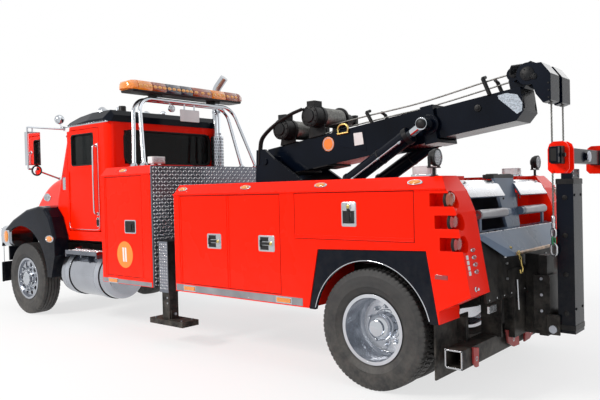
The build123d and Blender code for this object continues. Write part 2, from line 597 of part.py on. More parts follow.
# ------------------------------------------------------------------ deck and turret
with BuildPart() as deck:
    for name, side in SIDES:
        block((TAIL_BAY_X, TALL_BOX_REAR_X - 20), span(side, 560, BODY_INNER_Y), (1000, DECK_Z))
        block((TALL_BOX_REAR_X - 20, TALL_BOX_FRONT_X - 45), span(side, 560, BODY_INNER_Y), (1000, 1150))
    block((TAIL_BAY_X, TALL_BOX_REAR_X - 20), (-560, 560), (DECK_Z - 20, DECK_Z))
    for cross_x in (TAIL_BAY_X, -2300, -1780, -900, 140):
        block((cross_x, cross_x + 80), (-560, 560), (1000, 1080))
    for cross_x in (-1820, -800):
        block((cross_x, cross_x + 20), (-560, 560), (1080, DECK_Z - 20))
save(deck, "deck")

PIN_RADIUS = 40
LIFT_FOOT = (-1780, 1740)
LIFT_EYE_REACH = 2000
CYLINDER_Y = 300
boom_slope = radians(BOOM_ANGLE)
LIFT_EYE = (BOOM_PIVOT[0] - LIFT_EYE_REACH * cos(boom_slope),
            BOOM_PIVOT[2] + LIFT_EYE_REACH * sin(boom_slope))

with BuildPart() as turret:
    for name, side in SIDES:
        prism_y([(-620, DECK_Z), (-620, 1860), (-640, 2185), (-760, 2190), (-900, 2080), (-1600, DECK_Z)],
                span(side, 345, 385))
        # feet of the lift cylinders
        for near, far in ((205, 225), (375, 395)):
            prism_y([(LIFT_FOOT[0] - 110, DECK_Z), (LIFT_FOOT[0] + 110, DECK_Z),
                     (LIFT_FOOT[0] + 50, LIFT_FOOT[1] + 50), (LIFT_FOOT[0] - 50, LIFT_FOOT[1] + 50)],
                    span(side, near, far))
        rod((LIFT_FOOT[0], side * 205, LIFT_FOOT[1]), (LIFT_FOOT[0], side * 395, LIFT_FOOT[1]), 35)
    rod((BOOM_PIVOT[0], -400, BOOM_PIVOT[2]), (BOOM_PIVOT[0], 400, BOOM_PIVOT[2]), PIN_RADIUS)
    block((-680, -640), (-345, 345), (DECK_Z, 1830))
save(turret, "turret")


# ------------------------------------------------------------------ boom
def along_boom(reach, rise):
    """(x, z) of a point from its distance along the boom from the pivot and above its centreline."""
    return (BOOM_PIVOT[0] - reach * cos(boom_slope) + rise * sin(boom_slope),
            BOOM_PIVOT[2] + reach * sin(boom_slope) + rise * cos(boom_slope))


def boom_box(reach, half_depth, y, mode=Mode.ADD):
    """A box in line with the boom."""
    corners = [along_boom(reach[0], -half_depth), along_boom(reach[1], -half_depth),
               along_boom(reach[1], half_depth), along_boom(reach[0], half_depth)]
    prism_y(corners, y, mode=mode)


BOOM_WALL = 14
with BuildPart() as boom_outer:
    boom_box((-110, 2050), BOOM_DEPTH / 2, (-BOOM_HALF_WIDTH, BOOM_HALF_WIDTH))
    boom_box((1930, 2065), BOOM_DEPTH / 2 + 18, (-BOOM_HALF_WIDTH - 15, BOOM_HALF_WIDTH + 15))
    boom_box((100, 2100), BOOM_DEPTH / 2 - BOOM_WALL, (-BOOM_HALF_WIDTH + BOOM_WALL, BOOM_HALF_WIDTH - BOOM_WALL),
             mode=Mode.SUBTRACT)
    rod((BOOM_PIVOT[0], -340, BOOM_PIVOT[2]), (BOOM_PIVOT[0], 340, BOOM_PIVOT[2]), 75)
    rod((BOOM_PIVOT[0], -350, BOOM_PIVOT[2]), (BOOM_PIVOT[0], 350, BOOM_PIVOT[2]), PIN_RADIUS + 0.06,
        mode=Mode.SUBTRACT)
save(boom_outer, "boom_outer")

SHEAVE = (-3775, 2630)
SHEAVE_RADIUS = 100
LINE_Y = 146
LINE_RADIUS = 7
INNER_HALF_DEPTH = BOOM_DEPTH / 2 - BOOM_WALL - 8
INNER_HALF_WIDTH = BOOM_HALF_WIDTH - BOOM_WALL - 8
with BuildPart() as boom_inner:
    boom_box((250, 2900), INNER_HALF_DEPTH, (-INNER_HALF_WIDTH, INNER_HALF_WIDTH))
    boom_box((240, 2820), INNER_HALF_DEPTH - 14, (-INNER_HALF_WIDTH + 14, INNER_HALF_WIDTH - 14),
             mode=Mode.SUBTRACT)
    # the lines swing under the boom's end when it is raised
    prism_y([along_boom(2820, -INNER_HALF_DEPTH - 1), along_boom(2901, -INNER_HALF_DEPTH - 1),
             along_boom(2901, -70)], (-INNER_HALF_WIDTH - 1, INNER_HALF_WIDTH + 1), mode=Mode.SUBTRACT)
    # head with its two line guides
    prism_y([along_boom(2790, 143), along_boom(2900, 143), (-3640, 2560), (-3760, 2760), (-3700, 2790),
             (-3560, 2740), (-3500, 2640)], (-110, 110))
    rod((-3720, -250, 2660), (-3720, 250, 2660), 95)
    rod((-3580, -200, 2680), (-3580, 200, 2680), 60)
    for name, side in SIDES:
        prism_y([(-3700, 2740), (-3840, 2740), (-3915, 2640), (-3915, 2420), (-3850, 2400), (-3790, 2480)],
                span(side, 40, 250))
        prism_y([(-3640, 2700), (-3830, 2700), (-3895, 2640), (-3895, 2380), (-3640, 2380)],
                span(side, LINE_Y - 20, LINE_Y + 20), mode=Mode.SUBTRACT)
        rod((SHEAVE[0], side * (LINE_Y - 21), SHEAVE[1]), (SHEAVE[0], side * (LINE_Y + 21), SHEAVE[1]),
            SHEAVE_RADIUS)
save(boom_inner, "boom_inner")

WINCHES = ((-990, 2400), (-1410, 2508))  # x, z of each drum
with BuildPart() as winches:
    for drum_x, drum_z in WINCHES:
        rod((drum_x, -180, drum_z), (drum_x, 190, drum_z), 85)
        for near, far, radius in ((-195, -175, 130), (175, 350, 115), (-350, -195, 70)):
            rod((drum_x, near, drum_z), (drum_x, far, drum_z), radius)
        reach = (BOOM_PIVOT[0] - drum_x) / cos(boom_slope)
        foot = along_boom(reach, BOOM_DEPTH / 2)
        for near, far in ((-215, -195), (195, 215)):
            prism_y([(foot[0] - 110, foot[1] + 14), (foot[0] + 110, foot[1] - 14), (drum_x + 90, drum_z + 30),
                     (drum_x - 90, drum_z + 30)], (near, far))
        boom_box((reach - 105, reach + 105), BOOM_DEPTH / 2 + 12, (-215, 215))
        boom_box((reach - 110, reach + 110), BOOM_DEPTH / 2, (-220, 220), mode=Mode.SUBTRACT)
save(winches, "winches")

with BuildPart() as load_lines:
    line_x = SHEAVE[0] - SHEAVE_RADIUS - LINE_RADIUS - 0.5
    for name, side in SIDES:
        line_y = side * LINE_Y
        rod((line_x, line_y, 1440), (line_x, line_y, SHEAVE[1]), LINE_RADIUS)
        rod((line_x, line_y, 1350), (line_x, line_y, 1445), 18)
        rod((line_x, line_y, 1130), (line_x, line_y, 1360), 12)
save(load_lines, "load_lines")

# ------------------------------------------------------------------ lift cylinders
cylinder_x = LIFT_EYE[0] - LIFT_FOOT[0]
cylinder_z = LIFT_EYE[1] - LIFT_FOOT[1]
CLOSED_LENGTH = hypot(cylinder_x, cylinder_z)
CYLINDER_DIRECTION = (cylinder_x / CLOSED_LENGTH, cylinder_z / CLOSED_LENGTH)


def along_cylinder(reach):
    """(x, z) on the cylinders' centreline, reach from the foot pin."""
    return (LIFT_FOOT[0] + reach * CYLINDER_DIRECTION[0], LIFT_FOOT[1] + reach * CYLINDER_DIRECTION[1])


with BuildPart() as lift_barrels:
    for name, side in SIDES:
        y = side * CYLINDER_Y
        start, end = along_cylinder(90), along_cylinder(CLOSED_LENGTH - 170)
        rod((start[0], y, start[1]), (end[0], y, end[1]), 78)
        rod((LIFT_FOOT[0], side * 230, LIFT_FOOT[1]), (LIFT_FOOT[0], side * 370, LIFT_FOOT[1]), 62)
        bar((LIFT_FOOT[0], y, LIFT_FOOT[1]), (start[0], y, start[1]), 130, 90)
        rod((LIFT_FOOT[0], side * 220, LIFT_FOOT[1]), (LIFT_FOOT[0], side * 380, LIFT_FOOT[1]), 35.06,
            mode=Mode.SUBTRACT)
        start = along_cylinder(130)
        tip = along_cylinder(CLOSED_LENGTH - 100)
        rod((start[0], y, start[1]), (tip[0], y, tip[1]), 40.1, mode=Mode.SUBTRACT)
save(lift_barrels, "lift_barrels")

with BuildPart() as lift_rods:
    for name, side in SIDES:
        y = side * CYLINDER_Y
        start, end = along_cylinder(150), along_cylinder(CLOSED_LENGTH)
        rod((start[0], y, start[1]), (end[0], y, end[1]), 40)
        rod((LIFT_EYE[0], side * 245, LIFT_EYE[1]), (LIFT_EYE[0], side * 355, LIFT_EYE[1]), 60)
        rod((LIFT_EYE[0], side * 212, LIFT_EYE[1]), (LIFT_EYE[0], side * 365, LIFT_EYE[1]), 32)
save(lift_rods, "lift_rods")


# ------------------------------------------------------------------ tail
with BuildPart() as tail_apron:
    # centre post with its cap
    prism_x([(-225, 1812), (225, 1812), (140, 1300), (-140, 1300)], (-3510, TAIL_BAY_X))
    prism_y([(TAIL_BAY_X, 1812), (-3390, 1812), (-3490, 1300), (-3465, 1300), (-3370, 1780), (TAIL_BAY_X, 1780)],
            (-230, 230), mode=Mode.INTERSECT)
    # apron: its lip is narrower than its back edge
    prism_y([(-3465, 1345), (-3550, 1332), (-3655, 1150), (-3655, 1125), (-3625, 1125), (-3540, 1300),
             (-3465, 1300)], (-TAIL_HALF, TAIL_HALF))
    for name, side in SIDES:
        prism_z([(-3545, side * 900), (-3700, side * 900), (-3700, side * 400), (-3660, side * 420),
                 (-3545, side * 870)], (1000, 1400), mode=Mode.SUBTRACT)
        rod((-3480, side * 140, 1480), (-3480, side * 750, 1480), 38)
        block((-3490, -3470), span(side, 700, 740), (1320, 1460))
        prism_y([(-3350, 1765), (-3420, 1725), (-3480, 1625), (-3470, 1617), (-3408, 1710), (-3350, 1747)],
                span(side, 180, TAIL_HALF))
save(tail_apron, "tail_apron")

with BuildPart() as tailboard:
    prism_y([(-3520, 1300), (-3538, 1300), (-3545, 1280), (-3600, 780), (-3580, 780)],
            (-TAIL_HALF + 5, TAIL_HALF - 5))
    block((-3538, TAIL_BAY_X), (-TAIL_HALF + 5, TAIL_HALF - 5), (1280, 1300))
    block((-3590, RAIL_REAR_X), (-420, 420), (760, 1000))
    # square cross tube that takes the support forks, open at both ends
    block((-3500, -3350), (-1120, 1120), (290, 440))
    block((-3488, -3362), (-1130, 1130), (302, 428), mode=Mode.SUBTRACT)
    for name, side in SIDES:
        block((-3540, -3360), span(side, 440, 465), (430, 900))
        block((-3540, -3460), span(side, 415, 465), (780, 900))
        block((-3300, -3286), span(side, 585, 1170), (190, 640))
        block((-3380, -3286), span(side, 760, 800), (440, 640))
    # underlift mast: a T rail
    block((-3730, -3590), (-30, 30), (400, 1100))
    block((MAST_REAR_X, -3725), (-85, 85), (400, 1100))
    block((-3590, -3500), (-300, 300), (400, 800))
save(tailboard, "tailboard")

# ------------------------------------------------------------------ underlift
FOLD_PIN = (-3868, 480)
FOLD_PIN_RADIUS = 18
with BuildPart() as underlift_carriage:
    # sleeve around the mast's head, open towards the truck
    block((-3830, -3690), (-115, 115), (450, 930))
    block((MAST_REAR_X - 5, -3720), (-90, 90), (440, 940), mode=Mode.SUBTRACT)
    block((-3725, -3680), (-40, 40), (440, 940), mode=Mode.SUBTRACT)
    for name, side in SIDES:
        block((-3920, -3820), span(side, 130, 150), (430, 600))
        block((-3835, -3815), span(side, 100, 150), (450, 600))
    rod((FOLD_PIN[0], -155, FOLD_PIN[1]), (FOLD_PIN[0], 155, FOLD_PIN[1]), FOLD_PIN_RADIUS)
save(underlift_carriage, "underlift_carriage")

with BuildPart() as stinger_outer:
    block((STINGER_REAR_X, STINGER_FRONT_X), (-120, 120), (450, 1760))
    block((STINGER_REAR_X + 12, STINGER_FRONT_X - 30), (-108, 108), (480, 1800), mode=Mode.SUBTRACT)
    block((STINGER_FRONT_X - 5, FOLD_PIN[0]), (-120, 120), (FOLD_PIN[1] - 29, FOLD_PIN[1] + 31))
    rod((FOLD_PIN[0], -120, FOLD_PIN[1]), (FOLD_PIN[0], 120, FOLD_PIN[1]), 31)
    rod((FOLD_PIN[0], -130, FOLD_PIN[1]), (FOLD_PIN[0], 130, FOLD_PIN[1]), FOLD_PIN_RADIUS + 0.06,
        mode=Mode.SUBTRACT)
save(stinger_outer, "stinger_outer")

SWIVEL_Z = 1940
CROSSBAR_X = (-4114, -4046)
with BuildPart() as stinger_inner:
    block((-4026, -3936), (-100, 100), (520, 1840))
    block((-3980, -3945), (-70, 70), (1840, 2010))
    rod((-3940, 0, SWIVEL_Z), (-4130, 0, SWIVEL_Z), 32)
save(stinger_inner, "stinger_inner")

with BuildPart() as crossbar:
    block(CROSSBAR_X, (-710, 710), (1880, 2000))
    rod((-4130, 0, SWIVEL_Z), (-4000, 0, SWIVEL_Z), 32.06, mode=Mode.SUBTRACT)
save(crossbar, "crossbar")

with BuildPart() as wheel_receivers:
    for name, side in SIDES:
        block((-4150, -3985), span(side, 435, 565), (1800, 2050))
        block((CROSSBAR_X[0] - 1, CROSSBAR_X[1] + 1), span(side, 430, 570), (1879, 2001), mode=Mode.SUBTRACT)
save(wheel_receivers, "wheel_receivers")


# ------------------------------------------------------------------ midship jacks
for name, side in SIDES:
    with BuildPart() as jack_leg:
        block((27, 153), span(side, 1037, 1163), (300, 1100))
        block((-250, 330), span(side, 980, 1210), (240, 300))
    save(jack_leg, f"jack_leg_{name}")


# ------------------------------------------------------------------ plates, pylon and lamps
with BuildPart() as tread_plates:
    block((TALL_BOX_REAR_X - 20, TALL_BOX_REAR_X), (-1215, 1215), (650, 2040))
    block((TALL_BOX_REAR_X - 30, TALL_BOX_REAR_X + 10), (-600, 600), (600, 1160), mode=Mode.SUBTRACT)
    for name, side in SIDES:
        block((BODY_FRONT_X, BODY_FRONT_X + 6), span(side, BODY_INNER_Y + 5, 1212), (655, 1695))
save(tread_plates, "tread_plates")

PYLON_TOP_Z = 2930
with BuildPart() as light_pylon:
    for foot_x, foot_y, top_x in ((690, 970, 985), (940, 935, 1110)):
        bent_tube([(foot_x, foot_y, 2070), (top_x, 800, PYLON_TOP_Z), (top_x, -800, PYLON_TOP_Z),
                   (foot_x, -foot_y, 2070)], 220, 25)
        for side in (1, -1):
            rod((foot_x, side * foot_y, TALL_BOX_TOP_Z), (foot_x, side * foot_y, 2085), 45)
    for bracket_y in (-500, 500):
        block((960, 1135), (bracket_y - 30, bracket_y + 30), (2950, 2990))
save(light_pylon, "light_pylon")

with BuildPart() as lamps:
    # light bar on the pylon
    prism_x([(-990, 3060), (-940, 2992), (940, 2992), (990, 3060), (930, 3150), (-930, 3150)], (900, 1200))
    # work lamps and strobes on the side bodies
    for name, side in SIDES:
        rod((-3230, side * 1100, BODY_TOP_Z), (-3230, side * 1100, 1890), 14)
        rod((-3190, side * 1100, 1950), (-3270, side * 1100, 1950), 70)
        block((-3140, -3040), span(side, 1050, 1110), (BODY_TOP_Z, 1870))
save(lamps, "lamps")
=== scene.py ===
# %% [markdown]
# # Dressing a heavy tow truck
#
# The truck's solids come from a CAD model: frame rails, boxes, doors, boom and wheels, each at its real
# size and with real joints. Here Blender gives that model its looks. Nothing in the CAD model is moved.
# Every new piece is made in metres in the truck's own frame: +X forward, +Y to the truck's left, +Z up,
# with the ground at Z = 0. Each piece then rides on the body that carries it, so that it follows when a
# door swings or the boom rises.

from math import atan2, cos, pi, radians, sin, sqrt

import bmesh
import bpy
from mathutils import Matrix, Vector


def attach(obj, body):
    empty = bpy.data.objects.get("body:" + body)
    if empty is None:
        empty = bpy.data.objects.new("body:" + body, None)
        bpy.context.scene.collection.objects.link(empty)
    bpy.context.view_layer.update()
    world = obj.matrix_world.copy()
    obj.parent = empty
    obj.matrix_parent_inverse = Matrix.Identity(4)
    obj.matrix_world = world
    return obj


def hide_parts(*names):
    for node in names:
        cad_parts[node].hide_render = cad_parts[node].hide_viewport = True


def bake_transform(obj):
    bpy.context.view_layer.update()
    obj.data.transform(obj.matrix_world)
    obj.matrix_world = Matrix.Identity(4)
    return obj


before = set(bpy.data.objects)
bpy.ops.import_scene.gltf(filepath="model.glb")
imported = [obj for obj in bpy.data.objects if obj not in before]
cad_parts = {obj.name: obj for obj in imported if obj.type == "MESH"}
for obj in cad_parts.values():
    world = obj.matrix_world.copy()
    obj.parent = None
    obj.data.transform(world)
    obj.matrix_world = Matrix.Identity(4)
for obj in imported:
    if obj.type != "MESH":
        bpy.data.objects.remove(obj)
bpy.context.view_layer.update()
SIDES = (("left", 1), ("right", -1))

# %% [markdown]
# ## Camera
#
# The truck is seen from behind its left rear corner, from eye height, with a moderately wide lens. A
# camera in Blender looks along its own -Z axis, so its matrix is built from three directions: right, up
# and the reverse of the view direction. Writing them from yaw, pitch and roll keeps the numbers readable.

# %% Place the camera
CAMERA_PLACE = (-5.736, 5.662, 1.721)
CAMERA_YAW, CAMERA_PITCH, CAMERA_ROLL = radians(-49.79), radians(-0.92), radians(-1.42)
LENS = 38.28
SENSOR_WIDTH = 36

ahead = Vector((cos(CAMERA_YAW) * cos(CAMERA_PITCH), sin(CAMERA_YAW) * cos(CAMERA_PITCH), sin(CAMERA_PITCH)))
level_right = Vector((sin(CAMERA_YAW), -cos(CAMERA_YAW), 0))
level_up = level_right.cross(ahead)
right = cos(CAMERA_ROLL) * level_right + sin(CAMERA_ROLL) * level_up
up = cos(CAMERA_ROLL) * level_up - sin(CAMERA_ROLL) * level_right

camera_data = bpy.data.cameras.new("camera")
camera_data.lens = LENS
camera_data.sensor_width = SENSOR_WIDTH
camera = bpy.data.objects.new("camera", camera_data)
bpy.context.scene.collection.objects.link(camera)
camera.matrix_world = Matrix.Translation(CAMERA_PLACE) @ Matrix((right, up, -ahead)).transposed().to_4x4()
bpy.context.scene.camera = camera
print("camera at", CAMERA_PLACE, "lens", LENS)

# %% [markdown]
# ## Wiring materials
#
# A real surface is never one flat colour: paint has a faint ripple, dust gathers low down, metal is
# brushed or cast. All of this can be told to Blender with a handful of noise nodes that read the object's
# own coordinates, so that it stays put when a part moves and looks the same from every side. Two small
# helpers keep the wiring short: one sets or links a socket, and one adds a Math node.

# %% Helpers for shader nodes
def wire(tree, socket, value):
    """Links a socket to another one, or sets its own value."""
    if isinstance(value, bpy.types.NodeSocket):
        tree.links.new(value, socket)
    else:
        socket.default_value = value


def add_node(tree, kind, output=0, settings=(), **inputs):
    """Adds a node, sets its properties and inputs, and gives back one of its outputs."""
    node = tree.nodes.new("ShaderNode" + kind)
    for key, value in dict(settings).items():
        setattr(node, key, value)
    for key, value in inputs.items():
        wire(tree, node.inputs[key.replace("_", " ")], value)
    return node.outputs[output]


def reckon(tree, operation, *values):
    """A Math node on numbers or sockets."""
    node = tree.nodes.new("ShaderNodeMath")
    node.operation = operation
    for socket, value in zip(node.inputs, values):
        wire(tree, socket, value)
    return node.outputs[0]


def mix_colours(tree, share, first, second):
    """Goes from the first colour to the second as share goes from 0 to 1."""
    node = tree.nodes.new("ShaderNodeMix")
    node.data_type = "RGBA"
    for socket, value in zip((node.inputs[0], node.inputs[6], node.inputs[7]), (share, first, second)):
        wire(tree, socket, value)
    return node.outputs[2]


def rescale(tree, value, low, high, new_low=0.0, new_high=1.0):
    """Maps a range of values onto another one and holds it there."""
    return add_node(tree, "MapRange", Value=value, From_Min=low, From_Max=high,
                    To_Min=new_low, To_Max=new_high)


print("helpers for shader nodes are ready")

# %% [markdown]
# ## One recipe for most finishes
#
# Paint, plated metal, rubber and plastic differ in colour, roughness and shine, but share the same wear:
# a soft mottle, a fine grain that catches the light, road dust that thins out with height, and a rounded
# glint on each edge. The Bevel node gives that glint without touching the solids. So one function makes
# every such finish.

# %% The finish recipe
DUST = (0.3, 0.27, 0.23, 1)
finishes = {}


def make_finish(name, colour, roughness, metal=0.0, coat=0.0, mottle=0.12, mottle_size=0.25, grain=0.0,
                grain_size=0.002, edge=0.003, dust=0.0, dust_top=1.0, rough_swing=0.12, stretch=(1, 1, 1),
                specular=0.5):
    """A principled surface with mottle, grain, dust that fades with height, and rounded edges."""
    material = bpy.data.materials.new(name)
    material.use_nodes = True
    tree = material.node_tree
    shader = tree.nodes["Principled BSDF"]
    place = add_node(tree, "TexCoord", output=3)
    place = add_node(tree, "Mapping", Vector=place, Scale=stretch)
    patches = add_node(tree, "TexNoise", Vector=place, Scale=1 / mottle_size, Detail=5.0)
    darker = [channel * (1 - mottle * 2.5) for channel in colour] + [1]
    lighter = [min(channel * (1 + mottle), 1) for channel in colour] + [1]
    shade = mix_colours(tree, rescale(tree, patches, 0.25, 0.75), darker, lighter)
    smoothest, roughest = max(roughness - rough_swing / 2, 0.02), roughness + rough_swing / 2
    rough = rescale(tree, patches, 0.3, 0.7, smoothest, roughest)
    if dust:
        height = add_node(tree, "SeparateXYZ", output=2, Vector=place)
        specks = add_node(tree, "TexNoise", Vector=place, Scale=9.0, Detail=9.0, Roughness=0.7)
        low_down = rescale(tree, height, 0.0, dust_top, 1.0, 0.0)
        share = reckon(tree, "MULTIPLY", rescale(tree, specks, 0.35, 0.75), low_down)
        share = reckon(tree, "MULTIPLY", share, dust)
        shade = mix_colours(tree, share, shade, DUST)
        rough = reckon(tree, "MAXIMUM", rough, reckon(tree, "MULTIPLY", share, 0.9))
    wire(tree, shader.inputs["Base Color"], shade)
    wire(tree, shader.inputs["Roughness"], rough)
    shader.inputs["Metallic"].default_value = metal
    shader.inputs["Coat Weight"].default_value = coat
    shader.inputs["Coat Roughness"].default_value = 0.04
    shader.inputs["Specular IOR Level"].default_value = specular
    normal = add_node(tree, "Bevel", settings={"samples": 3}, Radius=edge)
    if grain:
        pits = add_node(tree, "TexNoise", Vector=place, Scale=1 / grain_size, Detail=3.0)
        normal = add_node(tree, "Bump", Height=pits, Distance=grain, Strength=0.6, Normal=normal)
    wire(tree, shader.inputs["Normal"], normal)
    finishes[name] = material
    return material


print("a finish takes its colour, roughness, metal, coat, mottle, grain, edge and dust")

# %% [markdown]
# ## Paint, plating, rubber and plastic
#
# The body is a bright orange-red under clear coat, while fenders, roof cap, boom and underlift are gloss
# black. Running gear is satin black with more dust. Bright work is of three kinds: chrome, which is almost
# a mirror; polished alloy on wheels and tanks, a little softer; and brushed steel, whose grain is
# stretched along one direction to give a streaky shine.

# %% Make the plain finishes
make_finish("red_paint", (0.95, 0.013, 0.0008), 0.28, coat=0.03, specular=0.08, mottle=0.03, mottle_size=1.5,
    grain=0.00004, grain_size=0.006, edge=0.004, dust=0.1, dust_top=1.1, rough_swing=0.05)
make_finish("black_paint", (0.002, 0.0045, 0.011), 0.2, coat=0.015, specular=0.1, mottle=0.2, mottle_size=0.6,
    grain=0.00004, grain_size=0.006, edge=0.004, dust=0.1, dust_top=1.6, rough_swing=0.08)
make_finish("chassis_black", (0.007, 0.007, 0.008), 0.45, specular=0.12, mottle=0.3, grain=0.0004,
    grain_size=0.006, edge=0.003, dust=0.45, dust_top=1.3, rough_swing=0.2)
make_finish("cast_black", (0.006, 0.007, 0.009), 0.38, specular=0.15, mottle=0.3, grain=0.0008,
    grain_size=0.004, edge=0.003, dust=0.15, dust_top=3.5)
make_finish("engine_paint", (0.09, 0.095, 0.1), 0.5, mottle=0.3, grain=0.001, grain_size=0.006, dust=0.3)
make_finish("chrome", (0.52, 0.545, 0.58), 0.07, metal=1.0, mottle=0.03, edge=0.002, rough_swing=0.06)
make_finish("polished_alloy", (0.4, 0.42, 0.46), 0.17, metal=1.0, mottle=0.05, grain=0.00004,
    grain_size=0.003, edge=0.003, dust=0.08, dust_top=1.0)
make_finish("rim_alloy", (0.6, 0.62, 0.66), 0.2, metal=1.0, mottle=0.05, grain=0.00004, grain_size=0.003,
    dust=0.15, rough_swing=0.08)
make_finish("tread_plate", (0.17, 0.185, 0.22), 0.32, metal=0.8, mottle=0.12, grain=0.00015, grain_size=0.002,
    dust=0.15, dust_top=1.8)
make_finish("bright_lozenge", (0.92, 0.93, 0.95), 0.22, metal=0.75, mottle=0.1, edge=0.0005, dust=0.1,
    dust_top=1.4)
make_finish("latch_steel", (0.5, 0.51, 0.53), 0.28, metal=0.9, mottle=0.08, grain=0.00005, grain_size=0.001,
    edge=0.0008, stretch=(0.15, 1, 1))
make_finish("silver_steel", (0.44, 0.47, 0.52), 0.33, metal=0.9, mottle=0.12, grain=0.0002, grain_size=0.002,
    dust=0.1, dust_top=1.8, stretch=(1, 0.15, 1))
make_finish("grey_blue_paint", (0.125, 0.17, 0.24), 0.3, coat=0.08, specular=0.2, mottle=0.08, grain=0.0001,
    grain_size=0.003)
make_finish("tyre_rubber", (0.018, 0.018, 0.019), 0.62, mottle=0.2, grain=0.0005, grain_size=0.004,
    edge=0.002, dust=0.28, dust_top=1.2)
make_finish("black_rubber", (0.012, 0.012, 0.012), 0.6, specular=0.2, mottle=0.2, grain=0.0003,
    grain_size=0.003, dust=0.1)
make_finish("black_plastic", (0.015, 0.015, 0.016), 0.42, specular=0.2, mottle=0.15, grain=0.0003,
    grain_size=0.0015)
make_finish("cab_trim", (0.055, 0.05, 0.046), 0.75, mottle=0.2, grain=0.0006, grain_size=0.003)
make_finish("seat_cloth", (0.1, 0.095, 0.09), 0.85, mottle=0.15, grain=0.0008, grain_size=0.002)
make_finish("bright_amber", (0.95, 0.42, 0.06), 0.2, coat=1.0, mottle=0.1, mottle_size=0.02, edge=0.001)
make_finish("wire_rope", (0.2, 0.2, 0.19), 0.42, metal=0.8, mottle=0.25, mottle_size=0.02, grain=0.0012,
    grain_size=0.006, edge=0.0005)
make_finish("gold_zinc", (0.62, 0.47, 0.16), 0.3, metal=1.0, mottle=0.2, grain=0.0003, edge=0.001)
make_finish("green_link", (0.03, 0.25, 0.1), 0.35, metal=0.3, mottle=0.2, grain=0.0003)
make_finish("worn_red", (0.42, 0.02, 0.02), 0.5, mottle=0.3, grain=0.0006, grain_size=0.005, dust=0.4)
make_finish("worn_steel", (0.36, 0.25, 0.17), 0.42, metal=0.8, mottle=0.35, mottle_size=0.05, grain=0.0005,
    grain_size=0.004)
# pale bluish satin used only for a painted reflection on the boom head's sides
make_finish("painted_sheen_silver", (0.42, 0.49, 0.56), 0.5, metal=0.2, mottle=0.3, mottle_size=0.012, grain=0.0003)
make_finish("white_box", (0.75, 0.76, 0.76), 0.35, mottle=0.06, grain=0.0001)
make_finish("orange_decal", (0.92, 0.24, 0.02), 0.35, mottle=0.04)
make_finish("strip_grey", (0.3, 0.3, 0.32), 0.35, metal=0.4, mottle=0.15, grain=0.0002, dust=0.2)
make_finish("mirror_glass", (0.9, 0.9, 0.92), 0.02, metal=1.0, mottle=0.01, rough_swing=0.01)
print("plain finishes:", len(finishes))

# %% [markdown]
# ## Glass and lamp lenses
#
# A lens is coloured plastic moulded with fine flutes, with a bright bowl behind it. Light really passing
# through many thin layers is slow to render, so the lens is a shiny coloured surface with a little
# transmission and a fluted bump: that reads as a lens from any side. Some lenses also glow faintly in their
# own colour though they are unlit: a painted glow for the light their bowls reflect. Window glass is darker
# and smooth.

# %% Make the clear finishes
FLUTE_PITCH = 0.012


def make_lens(name, colour, transmission=0.35, glow=0.0):
    """A moulded lens: fluted, shiny, partly clear, with a faint painted glow for the light its bowl reflects.
    """
    material = make_finish(name, colour, 0.12, coat=1.0, mottle=0.08, mottle_size=0.05, edge=0.002)
    tree = material.node_tree
    shader = tree.nodes["Principled BSDF"]
    shader.inputs["Transmission Weight"].default_value = transmission
    shader.inputs["IOR"].default_value = 1.49
    # painted glow: emission on an unlit lens, standing in for the light its bowl reflects
    shader.inputs["Emission Color"].default_value = (*colour, 1)
    shader.inputs["Emission Strength"].default_value = glow
    place = add_node(tree, "TexCoord", output=3)
    cells = add_node(tree, "TexVoronoi", Vector=place, Scale=1 / FLUTE_PITCH)
    wire(tree, shader.inputs["Normal"], add_node(tree, "Bump", Height=cells, Distance=0.002))


# these lenses are unlit; the glow given to amber and red is painted light
make_lens("amber_lens", (0.95, 0.3, 0.015), glow=0.1)
make_lens("dark_amber_lens", (0.4, 0.06, 0.008), glow=0.03)
make_lens("smoked_lens", (0.018, 0.02, 0.05), transmission=0.2)
make_lens("red_lens", (0.42, 0.006, 0.006), glow=0.03)
make_lens("clear_lens", (0.86, 0.88, 0.9), transmission=0.6)
glazing = make_finish("glazing", (0.03, 0.036, 0.036), 0.04, coat=0.15, specular=0.2, mottle=0.05,
    rough_swing=0.02)
glazing.node_tree.nodes["Principled BSDF"].inputs["Transmission Weight"].default_value = 0.75
glazing.node_tree.nodes["Principled BSDF"].inputs["IOR"].default_value = 1.1
print("finishes in all:", len(finishes))

# %% [markdown]
# ## Floor, sky and lamps
#
# A plain studio: one pale floor, a sky that is white to the camera, in metal and through glass, and soft
# lamps. Matt surfaces are lit by a sky that is bright above and darker at the horizon, as outdoors.
# Area lamps are used because their size makes the shadow's edge soft. The strong one stands to the
# truck's left and ahead, so the side is bright and the tail lies in its own shade.

# %% Build the studio
scene = bpy.context.scene
scene.view_settings.view_transform = "Standard"


def background_rays(tree):
    """1 for the rays that meet the white background: from the camera, off metal and through glass."""
    paths = tree.nodes.new("ShaderNodeLightPath")
    rays = [paths.outputs[f"Is {kind} Ray"] for kind in ("Camera", "Glossy", "Transmission")]
    return reckon(tree, "MAXIMUM", rays[0], reckon(tree, "MAXIMUM", *rays[1:]))


